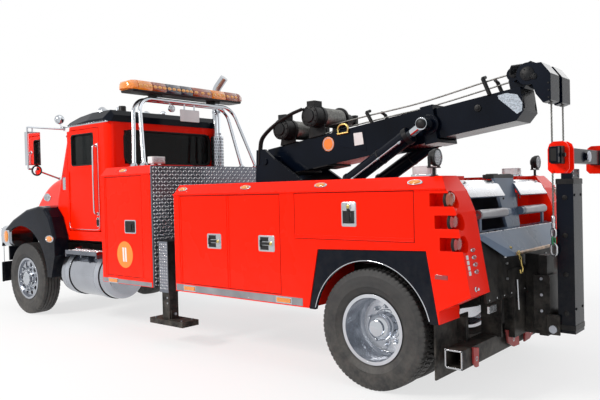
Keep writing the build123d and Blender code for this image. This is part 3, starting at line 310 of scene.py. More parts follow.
sky = bpy.data.worlds.new("sky")
sky.use_nodes = True
scene.world = sky
tree = sky.node_tree
direction = add_node(tree, "TexCoord", output=0)
height = add_node(tree, "SeparateXYZ", output=2, Vector=direction)
ramp = tree.nodes.new("ShaderNodeValToRGB")
wire(tree, ramp.inputs["Fac"], rescale(tree, height, -1, 1))
SKY = (
    (0.0, (0.42, 0.41, 0.4, 1)), (0.49, (0.34, 0.34, 0.34, 1)), (0.515, (0.2, 0.22, 0.25, 1)),
    (0.6, (0.62, 0.68, 0.76, 1)), (0.75, (0.86, 0.89, 0.93, 1)), (1.0, (1, 1, 1, 1)))
while len(ramp.color_ramp.elements) < len(SKY):
    ramp.color_ramp.elements.new(0.5)
for element, (position, colour) in zip(ramp.color_ramp.elements, SKY):
    element.position = position
    element.color = colour
seen = background_rays(tree)
background = tree.nodes["Background"]
wire(tree, background.inputs["Color"], mix_colours(tree, seen, ramp.outputs["Color"], (1, 1, 1, 1)))
wire(tree, background.inputs["Strength"], rescale(tree, seen, 0, 1, 0.6, 1.0))

bpy.ops.mesh.primitive_grid_add(size=120, x_subdivisions=4, y_subdivisions=4)
floor = bpy.context.object
floor.name = "floor"
concrete = bpy.data.materials.new("pale_floor")
concrete.use_nodes = True
tree = concrete.node_tree
shader = tree.nodes["Principled BSDF"]
shader.inputs["Roughness"].default_value = 0.9
spots = add_node(tree, "TexNoise", Vector=add_node(tree, "TexCoord", output=3), Scale=0.6)
wire(tree, shader.inputs["Base Color"], mix_colours(tree, spots, (0.86, 0.86, 0.86, 1), (0.9, 0.9, 0.9, 1)))
glow = add_node(tree, "Emission", Strength=1.0)
seen = background_rays(tree)
far_off = add_node(tree, "VectorMath", output=1, settings={"operation": "LENGTH"})
wire(tree, far_off.node.inputs[0], add_node(tree, "TexCoord", output=3))
share = rescale(tree, far_off, 4.5, 11.0, 0.7, 1.0)
blended = tree.nodes.new("ShaderNodeMixShader")
wire(tree, blended.inputs[0], reckon(tree, "MULTIPLY", seen, share))
wire(tree, blended.inputs[1], shader.outputs[0])
wire(tree, blended.inputs[2], glow)
wire(tree, tree.nodes["Material Output"].inputs["Surface"], blended.outputs[0])
floor.data.materials.append(concrete)


def add_lamp(name, place, target, size, power, colour=(1, 1, 1)):
    """A square area lamp that looks at a point."""
    data = bpy.data.lights.new(name, "AREA")
    data.shape = "SQUARE"
    data.size = size
    data.energy = power
    data.color = colour
    lamp = bpy.data.objects.new(name, data)
    scene.collection.objects.link(lamp)
    lamp.location = place
    lamp.rotation_euler = (Vector(target) - Vector(place)).to_track_quat("-Z", "Y").to_euler()


add_lamp("sun_side", (3.5, 11.0, 8.0), (-0.3, 0, 1.2), 3.0, 1250, (1.0, 0.97, 0.93))
add_lamp("overhead", (-1.0, 0.5, 9.5), (-0.5, 0, 1), 7.0, 150)
add_lamp("tail_fill", (-11.0, 3.5, 4.0), (-3.5, 0, 1.4), 5.0, 80, (0.95, 0.97, 1.0))
add_lamp("far_side", (-2.0, -11.0, 6.0), (0, 0, 1.2), 6.0, 180)
print("lamps:", [lamp.name for lamp in bpy.data.lights])

# %% [markdown]
# ## Finishes for the CAD pieces
#
# Each CAD node arrives with the record's plain colour. A short table says which finish each one really
# has, and its material slot is filled with it. A node that is not in the table would stay plain, so the
# loop counts the ones it dressed.

# %% Dress the CAD nodes
NODE_FINISHES = {
    "red_paint": """cab_shell cab_door_left cab_door_right hood tall_boxes side_body_left side_body_right
        tall_door_left tall_door_right front_door_left front_door_right rear_door_left rear_door_right
        wide_door_left wide_door_right wheel_receivers""",
    "black_paint": """cab_roof fenders wheel_arches boom_outer boom_inner turret lift_barrels stinger_outer
        stinger_inner crossbar front_bumper""",
    "chassis_black": """chassis_frame front_axle rear_axle knuckle_left knuckle_right tailboard
        underlift_carriage jack_leg_left jack_leg_right""",
    "cast_black": "winches",
    "engine_paint": "engine_block",
    "chrome": "grille light_pylon lift_rods exhaust_stack mirrors",
    "polished_alloy": "front_rim_left front_rim_right rear_rims_left rear_rims_right fuel_tanks",
    "tread_plate": "deck tread_plates",
    "grey_blue_paint": "tail_apron",
    "wire_rope": "load_lines",
    "tyre_rubber": "front_tyre_left front_tyre_right rear_tyres_left rear_tyres_right",
    "glazing": "cab_glass",
    "cab_trim": "cab_interior",
    "amber_lens": "lamps",
}
dressed = 0
for finish_name, node_names in NODE_FINISHES.items():
    for node_name in node_names.split():
        for material_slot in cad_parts[node_name].material_slots:
            material_slot.material = finishes[finish_name]
        dressed += 1
print("dressed", dressed, "of", len(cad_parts), "CAD nodes")

# %% [markdown]
# ## Building shapes in mesh code
#
# Most fittings on a truck are pressed, turned or bent: blocks with soft corners, turned bosses, bent
# tubes. Each helper below adds one such form to a bmesh, so that a fitting is a few forms joined in one
# mesh. A bmesh is used rather than operators because it needs no selection and no context, and runs fast.

# %% Helpers for solid forms
def new_shapes(count):
    """Empty meshes to build several pieces side by side."""
    return [bmesh.new() for _ in range(count)]


def axes_along(start, direction):
    """A matrix at start whose Z axis points along a direction."""
    return Matrix.Translation(start) @ Vector(direction).to_track_quat("Z", "Y").to_matrix().to_4x4()


def add_box(shape, low, high, place=Matrix.Identity(4)):
    """A block between two opposite corners, in its own turned frame if one is given."""
    low, high = Vector(low), Vector(high)
    place = place @ Matrix.Translation((low + high) / 2) @ Matrix.Diagonal((*(high - low), 1))
    bmesh.ops.create_cube(shape, size=1, matrix=place)


def add_rod(shape, start, end, radius, end_radius=None, sides=20):
    """A round bar or cone from one point to another."""
    along = Vector(end) - Vector(start)
    place = axes_along(start, along) @ Matrix.Translation((0, 0, along.length / 2))
    end_radius = radius if end_radius is None else end_radius
    bmesh.ops.create_cone(shape, cap_ends=True, segments=sides, radius1=radius, radius2=end_radius,
                          depth=along.length, matrix=place)


def add_ball(shape, centre, radius, squash=(1, 1, 1), detail=16):
    """A ball, or an egg when it is squashed."""
    place = Matrix.Translation(centre) @ Matrix.Diagonal((*squash, 1))
    bmesh.ops.create_uvsphere(shape, u_segments=detail, v_segments=detail // 2, radius=radius, matrix=place)


def skin(shape, rings, loop=False):
    """Faces between rings of points; a loop joins the last ring to the first, else the ends are capped."""
    rings = [[shape.verts.new(point) for point in ring] for ring in rings]
    for near, far in zip(rings, rings[1:] + rings[:1] if loop else rings[1:]):
        for index in range(len(near)):
            after = (index + 1) % len(near)
            shape.faces.new((near[index], near[after], far[after], far[index]))
    for end in () if loop else (rings[0], rings[-1]):
        if (end[0].co - end[len(end) // 2].co).length > 0.001:
            shape.faces.new(end)


def add_turned(shape, profile, start, direction, steps=32, closed=False):
    """Turns a profile of (radius, distance) about a line from start, as on a lathe."""
    place = axes_along(start, direction)
    skin(shape, [[place @ Vector((u, v, along)) for u, v in ring_of(steps, radius)]
                 for radius, along in profile], closed)


def add_prism(shape, outline, low, high, plane="xz"):
    """A flat plate with this outline, from low to high across its plane."""
    order = {"xz": (0, 2, 1), "xy": (0, 1, 2), "yz": (2, 0, 1)}[plane]
    skin(shape, [[[(u, v, across)[axis] for axis in order] for u, v in outline] for across in (low, high)])


def ring_of(count, radius, start=0.0):
    """Points of a circle as (u, v), for bolts and holes."""
    return [(radius * cos(2 * pi * index / count + start), radius * sin(2 * pi * index / count + start))
            for index in range(count)]


print("solid forms: box, rod, ball, skin, turned, prism")


def put_on(piece, finish_name, body):
    """Gives a piece its finish and the body it rides on; a piece given no body is left unattached."""
    scene.collection.objects.link(piece)
    piece.data.materials.append(finishes[finish_name])
    if body:
        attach(piece, body)
    return piece


def make_piece(name, shape, finish_name, body="chassis", bevel=0.0, smooth_angle=35):
    """Closes a bmesh into a piece with smooth shading, crisp edges and, if asked, rounded ones."""
    bmesh.ops.remove_doubles(shape, verts=shape.verts, dist=0.00001)
    bmesh.ops.recalc_face_normals(shape, faces=shape.faces)
    mesh = bpy.data.meshes.new(name)
    shape.to_mesh(mesh)
    shape.free()
    mesh.shade_smooth()
    mesh.set_sharp_from_angle(angle=radians(smooth_angle))
    piece = bpy.data.objects.new(name, mesh)
    if bevel:
        rounding = piece.modifiers.new("rounded edges", "BEVEL")
        rounding.width = bevel
        rounding.segments = 2
        rounding.limit_method = "ANGLE"
        rounding.angle_limit = radians(smooth_angle)
        rounding.harden_normals = True
    return put_on(piece, finish_name, body)


def make_pipes(name, runs, radius, finish_name, body="chassis", closed=False, order=3):
    """Bent tubes, hoses or wires: one smooth curve for each run of points, with a round section."""
    data = bpy.data.curves.new(name, "CURVE")
    data.dimensions = "3D"
    data.bevel_depth = radius
    data.bevel_resolution = 4
    data.use_fill_caps = True
    data.resolution_u = 8
    for points in runs:
        spline = data.splines.new("NURBS")
        spline.points.add(len(points) - 1)
        for control, point in zip(spline.points, points):
            control.co = (*point, 1)
        spline.order_u = min(order, len(points))
        spline.use_endpoint_u = not closed
        spline.use_cyclic_u = closed
    put_on(bpy.data.objects.new(name, data), finish_name, body)


# %% [markdown]
# ## Tyres
#
# A truck tyre has a band of tread blocks, a shoulder that is notched to shed water, a bulging sidewall
# with a few raised rings, and a bead that grips the rim. The form is turned like a pot, but its radius
# changes with the angle as well: every few steps the tread drops into a groove. So the mesh is built ring
# by ring, with the depth of each point worked out from its place across the tread and its angle. Front
# tyres have straight ribs for steering, and rear tyres have blocks for grip.

# %% Make the six tyres
TYRE_HALF_WIDTH = 0.137
GROOVE = 0.012
# share of the half width, radius, groove depth here (1 is a full groove), notched (1) or not (0)
TREAD_PROFILE = (
    (0.6, 0.3, 0, 0), (0.72, 0.304, 0, 0), (0.8, 0.312, 0, 0), (0.9, 0.336, 0, 0), (0.955, 0.362, 0, 0),
    (0.985, 0.366, 0, 0), (0.99, 0.372, 0, 0), (0.985, 0.378, 0, 0), (1.0, 0.405, 0, 0), (0.995, 0.432, 0, 0),
    (0.972, 0.455, 0, 0), (0.975, 0.459, 0, 0), (0.955, 0.464, 0, 0), (0.93, 0.478, 0, 0),
    (0.905, 0.49, 0, 1), (0.88, 0.506, 0, 1), (0.83, 0.514, 0, 1), (0.7, 0.517, 0, 1), (0.54, 0.518, 0, 1),
    (0.535, 0.518, 1, 1), (0.465, 0.518, 1, 1), (0.46, 0.519, 0, 1), (0.335, 0.519, 0, 1), (0.2, 0.519, 0, 1),
    (0.195, 0.519, 1, 1), (0.145, 0.519, 1, 1), (0.14, 0.52, 0, 1), (0.0, 0.52, 0, 1))


def make_tyre(name, wheel, tyre_y, body, blocks, pitch_steps, replaced):
    """A tyre with ribs or blocks, whose shoulder and centre notches lie at set steps of each pitch."""
    steps = blocks * pitch_steps
    profile = TREAD_PROFILE + tuple((-share, *rest) for share, *rest in TREAD_PROFILE[-2::-1])
    verts, faces = [], []
    for step in range(steps):
        angle = 2 * pi * step / steps
        phase = step % pitch_steps
        for share, radius, depth, notch in profile:
            radius -= GROOVE * depth
            across = abs(share)
            if notch and not depth:
                shoulder = across > 0.6 and phase == 0
                block = blocks > 60 and across <= 0.6 and phase == (2 if across < 0.3 else 4) % pitch_steps
                if shoulder or block:
                    radius -= GROOVE * (0.75 if shoulder else 0.9)
            verts.append((wheel[0] + radius * cos(angle), tyre_y + share * TYRE_HALF_WIDTH,
                          wheel[1] + radius * sin(angle)))
    count = len(profile)
    for step in range(steps):
        this, following = step * count, ((step + 1) % steps) * count
        for index in range(count):
            after = (index + 1) % count
            faces.append((this + index, this + after, following + after, following + index))
    mesh = bpy.data.meshes.new(name)
    mesh.from_pydata(verts, [], faces)
    mesh.shade_smooth()
    mesh.set_sharp_from_angle(angle=radians(38))
    piece = put_on(bpy.data.objects.new(name, mesh), "tyre_rubber", body)
    if replaced:
        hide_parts(replaced)


WHEEL_FRONT, WHEEL_REAR = (3.378, 0.52), (-2.7, 0.52)
FRONT_TYRE_Y = 1.005
REAR_TYRE_YS = (1.065, 0.72)
for name, side in SIDES:
    make_tyre(f"steer_tread_{name}", WHEEL_FRONT, side * FRONT_TYRE_Y, f"front_wheel_{name}", 54, 4,
              f"front_tyre_{name}")
    for place, tyre_y in zip(("outer", "inner"), REAR_TYRE_YS):
        make_tyre(f"drive_tread_{place}_{name}", WHEEL_REAR, side * tyre_y, f"rear_wheels_{name}", 72, 5,
                  f"rear_tyres_{name}" if place == "outer" else None)

# %% [markdown]
# ## Wheel nuts, caps and valves
#
# Ten nuts hold each wheel on, and on a dressed-up truck each one wears a chrome cover with a flared skirt
# and a pointed top. A chrome hat hides the axle's end. All of these are turned forms, so one profile is
# turned at each place of a ring.

# %% Dress the wheels
NUT_RING = 0.1675
NUT_COVER = ((0.0235, 0.0), (0.0235, 0.004), (0.0185, 0.007), (0.0175, 0.034), (0.012, 0.052), (0.0, 0.058))


def dress_wheel(name, side, wheel, face_y, cap_profile, body):
    """Nut covers on a ring, a hub cap and a valve stem, on the outer face of a wheel."""
    shape = bmesh.new()
    outward = Vector((0, side, 0))
    for u, v in ring_of(10, NUT_RING, 0.314):
        foot = Vector((wheel[0] + u, side * face_y, wheel[1] + v))
        add_turned(shape, NUT_COVER, foot, outward, steps=12)
    centre = Vector((wheel[0], side * face_y, wheel[1]))
    add_turned(shape, cap_profile, centre, outward, steps=40)
    for u, v in ring_of(10, cap_profile[0][0] - 0.012, 0.1):
        foot = Vector((wheel[0] + u, side * (face_y + cap_profile[2][1] - 0.002), wheel[1] + v))
        add_rod(shape, foot, foot + outward * 0.008, 0.007, sides=6)
    valve = Vector((wheel[0] + 0.02, side * face_y, wheel[1] - 0.225))
    add_rod(shape, valve, valve + Vector((0, side * 0.05, 0.03)), 0.0045, sides=8)
    make_piece(name, shape, "chrome", body)


FRONT_CAP = (
    (0.122, 0.0), (0.122, 0.006), (0.118, 0.012), (0.104, 0.014), (0.098, 0.045), (0.07, 0.066),
    (0.034, 0.074), (0.03, 0.082), (0.0, 0.084))
REAR_CAP = (
    (0.14, 0.0), (0.14, 0.006), (0.134, 0.014), (0.12, 0.018), (0.117, 0.12), (0.1, 0.15), (0.075, 0.165),
    (0.07, 0.185), (0.045, 0.196), (0.0, 0.2))
for name, side in SIDES:
    dress_wheel(f"front_nuts_{name}", side, WHEEL_FRONT, 1.094, FRONT_CAP, f"front_wheel_{name}")
    dress_wheel(f"rear_nuts_{name}", side, WHEEL_REAR, 0.925, REAR_CAP, f"rear_wheels_{name}")
print("nut covers:", 4 * 10)

# %% [markdown]
# ## Loops and frames
#
# Window rubbers, door seams and chrome mouldings all follow a rectangle with rounded corners. A helper
# gives the points of such a loop once, with arcs at the corners, and it is used with a thin pipe for a
# moulding or as the outline of a flat plate.

# %% Rounded loops
def rounded_loop(low_u, high_u, low_v, high_v, radius, steps=6):
    """Points round a rectangle with rounded corners, anticlockwise from the lower right corner."""
    corners = ((high_u - radius, low_v + radius, -pi / 2), (high_u - radius, high_v - radius, 0),
               (low_u + radius, high_v - radius, pi / 2), (low_u + radius, low_v + radius, pi))
    return [(u + radius * cos(start + pi / 2 * step / steps), v + radius * sin(start + pi / 2 * step / steps))
            for u, v, start in corners for step in range(steps + 1)]


def shrunk(box, inset, radius, steps=6):
    """A rounded loop a little inside (or outside) a box given as low u, high u, low v, high v."""
    return rounded_loop(box[0] + inset, box[1] - inset, box[2] + inset, box[3] - inset, radius, steps)


print("a rounded loop has", len(rounded_loop(0, 1, 0, 1, 0.1)), "points")

# %% [markdown]
# ## Cab doors
#
# Each door carries its glass in a black rubber, a chrome moulding round its lower edge, a paddle handle
# and a long grab handle. All of it rides on the door, so the glass swings out with it.

# %% Dress the cab doors
WINDOW = (1.765, 2.312, 2.12, 2.545)
MOULDING = (
    (2.4, 2.02), (2.4, 1.6), (2.4, 1.34), (2.396, 1.285), (2.36, 1.262), (2.2, 1.258), (1.9, 1.258),
    (1.72, 1.258), (1.672, 1.272), (1.66, 1.31), (1.66, 1.5), (1.66, 1.8), (1.66, 2.1), (1.66, 2.4))
GRAB_HANDLE = (
    (0.978, 1.47), (1.02, 1.472), (1.035, 1.5), (1.036, 1.62), (1.036, 1.92), (1.036, 2.22), (1.035, 2.34),
    (1.02, 2.368), (0.978, 2.37))
for name, side in SIDES:
    body = f"cab_door_{name}"
    shape = bmesh.new()
    add_prism(shape, shrunk(WINDOW, 0.001, 0.035), side * 0.946, side * 0.951)
    make_piece(f"door_glass_{name}", shape, "glazing", body)
    loops = [[(u, side * y, v) for u, v in shrunk(WINDOW, 0.004, 0.04)] for y in (0.957, 0.978)]
    make_pipes(f"door_rubber_{name}", loops, 0.009, "black_rubber", body, closed=True, order=2)
    moulding = [(x, side * 0.983, z) for x, z in MOULDING]
    make_pipes(f"door_moulding_{name}", [moulding], 0.0045, "chrome", body)
    grab = [(1.7, side * y, z) for y, z in GRAB_HANDLE]
    make_pipes(f"grab_handle_{name}", [grab], 0.0125, "chrome", body)
    shape = bmesh.new()
    for z in (1.47, 2.37):
        add_turned(shape, ((0.026, 0), (0.026, 0.005), (0.018, 0.01), (0.0, 0.01)), (1.7, side * 0.98, z),
            (0, side, 0), steps=20)
    bezel = rounded_loop(1.672, 1.728, 1.3, 1.425, 0.026)
    add_prism(shape, bezel, side * 0.979, side * 0.988)
    make_piece(f"door_bezel_{name}", shape, "chrome", body, bevel=0.002)
    shape = bmesh.new()
    add_prism(shape, rounded_loop(1.681, 1.719, 1.312, 1.4, 0.018), side * 0.987, side * 0.997)
    add_rod(shape, (1.7, side * 0.986, 1.411), (1.7, side * 0.994, 1.411), 0.008, sides=16)
    make_piece(f"door_paddle_{name}", shape, "black_plastic", body, bevel=0.004)
print("cab doors dressed")

# %% [markdown]
# ## Windscreen, rear window and roof
#
# The windscreen and the rear window sit in black rubbers. Along the roof's front edge stand five amber
# marker lamps and a bead of bright drip rail, and on top are a pair of round horns, an aerial base and,
# at each front corner, a chrome ball lamp on a bracket.

# %% Dress the cab's shell
screen_foot, screen_head = Vector((2.6585, 0, 1.964)), Vector((2.4245, 0, 2.588))
slope = (screen_head - screen_foot).normalized()
screen_height = (screen_head - screen_foot).length
loop = [(screen_foot + slope * v + Vector((0.004, u, 0)))[:] for u, v in
        rounded_loop(-0.838, 0.838, 0.004, screen_height - 0.004, 0.09)]
rear_loop = [(1.412, u, v) for u, v in rounded_loop(-0.745, 0.745, 2.12, 2.56, 0.1)]
rear_inner = [(1.436, u, v) for u, v in rounded_loop(-0.742, 0.742, 2.123, 2.557, 0.1)]
make_pipes("screen_rubbers", [loop, rear_loop, rear_inner], 0.013, "black_rubber", closed=True, order=2)

shape = bmesh.new()
for y in (0.32, -0.1):
    pivot = Vector((2.672, y, 1.94))
    tip = pivot + slope * 0.3 + Vector((0.016, 0.3, 0))
    add_turned(shape, ((0.022, 0), (0.022, 0.012), (0.012, 0.022), (0, 0.024)), pivot, (0.6, 0, 1), steps=16)
    add_rod(shape, pivot + Vector((0.012, 0, 0.01)), tip, 0.006, 0.004, sides=8)
    along = (slope * 0.42 + Vector((0, -0.1, 0))).normalized()
    add_rod(shape, tip - along * 0.27, tip + along * 0.27, 0.007, 0.005, sides=8)
make_piece("wipers", shape, "black_plastic")

shape = bmesh.new()
add_prism(shape, ((2.452, 2.64), (2.575, 2.56), (2.585, 2.548), (2.578, 2.54), (2.445, 2.622)), -0.9, 0.9)
make_piece("sun_visor", shape, "black_paint", bevel=0.004)

shape = bmesh.new()
for side in (1, -1):
    for step in range(16):
        add_ball(shape, (1.46 + step * 0.062, side * 0.987, 2.672), 0.009, detail=8)
    add_box(shape, (1.42, side * 0.982 - 0.006, 2.655), (2.46, side * 0.982 + 0.006, 2.668))
for y in (-0.14, -0.52, 0.14, 0.52):
    add_box(shape, (2.38, y - 0.012, 2.735), (2.43, y + 0.012, 2.742))
make_piece("roof_beads", shape, "chrome", bevel=0.002)

MARKER_YS = (-0.66, -0.33, 0.0, 0.33, 0.66)
shape, base = new_shapes(2)
for y in MARKER_YS:
    add_ball(shape, (2.395, y, 2.752), 0.05, (1.1, 0.85, 0.75))
    add_ball(base, (2.385, y, 2.733), 0.06, (1.2, 0.95, 0.4))
make_piece("roof_markers", shape, "amber_lens")
make_piece("roof_marker_bases", base, "chrome")

HORN = (
    (0.02, 0.0), (0.022, 0.12), (0.03, 0.24), (0.05, 0.33), (0.085, 0.39), (0.088, 0.395), (0.08, 0.392),
    (0.045, 0.33), (0.024, 0.24), (0.0, 0.2))
shape = bmesh.new()
for y in (0.46, -0.3):
    add_turned(shape, HORN, (1.93, y, 2.888), (1.07, 0, 0.012), steps=28)
    add_ball(shape, (1.92, y, 2.886), 0.055, (0.7, 1, 1))
    for x in (1.98, 2.16):
        add_box(shape, (x, y - 0.012, 2.775), (x + 0.03, y + 0.012, 2.872))
make_piece("roof_horns", shape, "chrome", bevel=0.0015)

shape = bmesh.new()
add_turned(shape, ((0.05, 0), (0.05, 0.1), (0.044, 0.112), (0.0, 0.112)), (1.7, 0.56, 2.805), (0, 0, 1),
    steps=24)
add_turned(shape, ((0.058, 0), (0.058, 0.02), (0.05, 0.024)), (1.7, 0.56, 2.8), (0, 0, 1), steps=24)
add_rod(shape, (1.7, 0.56, 2.89), (1.8, 0.5, 2.865), 0.004, sides=6)
make_piece("aerial_base", shape, "black_plastic")

shape, lenses = new_shapes(2)
for side in (1, -1):
    centre = Vector((2.5, side * 1.035, 2.775))
    add_ball(shape, centre, 0.066, (1.05, 1, 1), detail=24)
    add_rod(shape, centre - Vector((0, 0, 0.05)), (2.49, side * 1.005, 2.668), 0.01, sides=10)
    add_box(shape, (2.455, side * 0.995 - 0.02, 2.655), (2.52, side * 0.995 + 0.02, 2.675))
    add_turned(lenses, ((0.056, 0.0), (0.05, 0.012), (0.03, 0.018), (0.0, 0.02)),
        centre + Vector((0.036, 0, 0)), (1, 0, 0), steps=24)
make_piece("ball_lamps", shape, "chrome")
make_piece("ball_lamp_lenses", lenses, "clear_lens")
print("roof dressed: markers", len(MARKER_YS), "horns 2, ball lamps 2")

# %% [markdown]
# ## Mirrors
#
# From behind, the mirrors show their glass: a tall flat one, and a round convex one below. The glass is a
# thin plate with a real mirror finish set into a dark rim.

# %% Glaze the mirrors
for name, side in SIDES:
    shape, rims = new_shapes(2)
    low, high = sorted((side * 1.302, side * 1.458))
    outline = rounded_loop(low, high, 2.155, 2.575, 0.02)
    add_prism(shape, outline, 2.556, 2.5595, plane="yz")
    add_turned(shape, ((0.058, 0.0), (0.05, 0.006), (0.03, 0.012), (0.0, 0.014)), (2.5795, side * 1.34, 2.07),
        (-1, 0, 0))
    make_piece(f"mirror_glass_{name}", shape, "mirror_glass")
    add_turned(rims, ((0.07, 0.0), (0.074, 0.004), (0.07, 0.012), (0.058, 0.012), (0.058, 0.0)),
        (2.586, side * 1.34, 2.07), (-1, 0, 0), closed=True)
    add_prism(rims, rounded_loop(low - 0.008, high + 0.008, 2.146, 2.584, 0.024), 2.5605, 2.567, plane="yz")
    make_piece(f"mirror_rims_{name}", rims, "black_rubber")
print("mirrors glazed")

# %% [markdown]
# ## Fitting pieces to curved panels
#
# A marker lamp sits flush on a fender whose face is neither flat nor upright. Rather than work the slope
# out by hand, a ray is shot at the CAD panel: it gives the point where it lands and the way the surface
# faces there. From these two comes a matrix whose Z axis stands out of the panel, and the lamp is built
# in that frame.

# %% Find a panel's surface
def frame_on(node_name, start, direction):
    """A matrix on the panel that the ray hits: Z stands out of it, and Y is as near upright as it can be."""
    found, place, normal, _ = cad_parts[node_name].ray_cast(Vector(start), Vector(direction))
    if not found:
        raise RuntimeError("the ray misses " + node_name)
    across = Vector((0, 0, 1)).cross(normal).normalized()
    steep = normal.cross(across)
    return Matrix.Translation(place) @ Matrix((across, steep, normal)).transposed().to_4x4()


def add_oval(shape, place, half_width, half_height, profile, steps=28):
    """A low oval form on a panel, from (share of its size, height above the panel) points."""
    skin(shape, [[place @ Vector((half_width * share * u, half_height * share * v, height))
                  for u, v in ring_of(steps, 1)] for share, height in profile])


OVAL_BEZEL = ((1.0, -0.002), (1.0, 0.006), (0.9, 0.012), (0.8, 0.012), (0.74, 0.007))
OVAL_LENS = ((0.78, 0.0), (0.78, 0.009), (0.66, 0.017), (0.4, 0.021), (0.12, 0.022))
print("fender face at the marker:", [round(v, 3) for v in
      frame_on("fenders", (2.56, 1.6, 1.13), (0, -1, 0)).translation])

# %% [markdown]
# ## Fender markers, hood vents and cowl louvres
#
# Each side of the hood unit has an oval amber marker low on the fender, a dark oval air inlet with a
# bright rim high on the hood, a rubber hood latch and a stack of bright louvres beside the windscreen.
# They ride on the hood unit, so they tip forward with it; the louvres belong to the cab.

# %% Dress the hood unit's sides
markers, bezels, inlets, latches, louvres = new_shapes(5)
for side in (1, -1):
    toward = (0, -side, 0)
    place = frame_on("fenders", (2.56, side * 1.6, 1.13), toward)
    add_oval(bezels, place, 0.108, 0.05, OVAL_BEZEL)
    add_oval(markers, place, 0.108, 0.05, OVAL_LENS)
    place = frame_on("hood", (3.47, side * 1.5, 1.7), toward)
    add_oval(bezels, place, 0.172, 0.06, OVAL_BEZEL)
    add_oval(inlets, place, 0.166, 0.056, ((0.86, 0.0), (0.86, 0.006), (0.8, 0.004), (0.2, 0.003)))
    for step in range(-2, 3):
        slat = place @ Matrix.Translation((0, step * 0.018, 0.007))
        half = 0.135 * sqrt(1 - (step * 0.018 / 0.05) ** 2)
        add_box(inlets, (-half, -0.0022, -0.003), (half, 0.0022, 0.004), slat)
    place = frame_on("hood", (2.8, side * 1.5, 1.52), toward)
    add_box(latches, (-0.014, -0.055, 0.0), (0.014, 0.055, 0.012), place)
    add_rod(latches, place @ Vector((0, 0.02, 0.01)), place @ Vector((0, -0.045, 0.018)), 0.009, sides=12)
    for step in range(7):
        low = 1.815 + step * 0.022
        add_box(louvres, (2.485, side * 0.978, low), (2.545, side * 0.99, low + 0.012))
    add_box(louvres, (2.48, side * 0.976, 1.8), (2.55, side * 0.983, 1.975))
make_piece("fender_markers", markers, "amber_lens", "hood_unit")
make_piece("hood_bezels", bezels, "chrome", "hood_unit")
make_piece("hood_inlets", inlets, "black_plastic", "hood_unit")
make_piece("hood_latches", latches, "black_rubber", "hood_unit", bevel=0.003)
make_piece("cowl_louvres", louvres, "chrome", bevel=0.0015)
print("hood sides dressed")

# %% [markdown]
# ## Headlamp pods and grille
#
# A long-hood truck carries its headlamps in bright pods on the fenders' front corners, with two round
# lenses side by side and an amber turn lamp on the flank. The grille is a bright frame filled with
# upright bars in front of a dark mesh. Both are built from rounded blocks, bars and turned lenses.

# %% Build the pods and the grille's bars
POD_X = (3.7, 3.985)
LENS_PROFILE = ((0.086, -0.02), (0.086, 0.004), (0.07, 0.016), (0.04, 0.024), (0.0, 0.027))
pods, lenses, turn_lamps, hoods = new_shapes(4)
for side in (1, -1):
    low, high = sorted((side * 0.83, side * 1.205))
    outline = rounded_loop(low, high, 0.975, 1.285, 0.09, steps=5)
    add_prism(pods, outline, POD_X[0] + 0.04, POD_X[1], plane="yz")
    inner = rounded_loop(low + 0.02, high - 0.02, 0.995, 1.265, 0.075, steps=5)
    add_prism(pods, inner, POD_X[0], POD_X[0] + 0.042, plane="yz")
    for y in (0.925, 1.105):
        centre = Vector((POD_X[1] - 0.004, side * y, 1.14))
        add_turned(pods, ((0.1, 0.0), (0.1, 0.012), (0.09, 0.016), (0.084, 0.006), (0.084, 0.0)), centre,
            (1, 0, 0), closed=True)
        add_turned(lenses, LENS_PROFILE, centre, (1, 0, 0))
        add_box(hoods, (POD_X[1] - 0.002, side * y - 0.09, 1.24), (POD_X[1] + 0.03, side * y + 0.09, 1.248))
    place = Matrix.Translation((3.83, side * 1.204, 1.13)) @ Matrix.Rotation(radians(-90 * side), 4, "X")
    add_oval(turn_lamps, place, 0.062, 0.085, ((1.0, 0.0), (1.0, 0.006), (0.8, 0.013), (0.3, 0.017)))
make_piece("headlamp_pods", pods, "chrome", "hood_unit", bevel=0.012)
make_piece("headlamp_lenses", lenses, "clear_lens", "hood_unit")
make_piece("headlamp_turn_lamps", turn_lamps, "amber_lens", "hood_unit")
make_piece("headlamp_hoods", hoods, "chrome", "hood_unit", bevel=0.002)

GRILLE_Y, GRILLE_Z = 0.44, (0.865, 1.452)
shape, mesh_shape = new_shapes(2)
for step in range(-10, 11):
    y = step * 0.0415
    add_box(shape, (4.012, y - 0.0055, GRILLE_Z[0]), (4.038, y + 0.0055, GRILLE_Z[1]))
for z in (GRILLE_Z[0], (GRILLE_Z[0] + GRILLE_Z[1]) / 2, GRILLE_Z[1]):
    add_box(shape, (4.01, -GRILLE_Y, z - 0.008), (4.034, GRILLE_Y, z + 0.008))
make_piece("grille_bars", shape, "chrome", "hood_unit", bevel=0.003)
add_box(mesh_shape, (4.0195, -GRILLE_Y + 0.01, GRILLE_Z[0] + 0.01),
    (4.0225, GRILLE_Y - 0.01, GRILLE_Z[1] - 0.01))
for step in range(40):
    z = GRILLE_Z[0] + 0.02 + step * 0.0138
    add_rod(mesh_shape, (4.024, -GRILLE_Y + 0.01, z), (4.024, GRILLE_Y - 0.01, z), 0.0018, sides=5)
make_piece("grille_mesh", mesh_shape, "black_plastic", "hood_unit")
print("pods 2, grille bars 21")

# %% [markdown]
# ## Bumper
#
# The painted steel bumper has two tow pin holes with bright plates, two round fog lamps and a pair of
# thin guide rods at its ends, by which the driver sees the corners. The holes are not cut: a black sheet in
# each is painted shade. The lamps stand a little proud of the steel, so the bumper is made again a
# centimetre back from the CAD solid's face, and the lamps fill that depth.

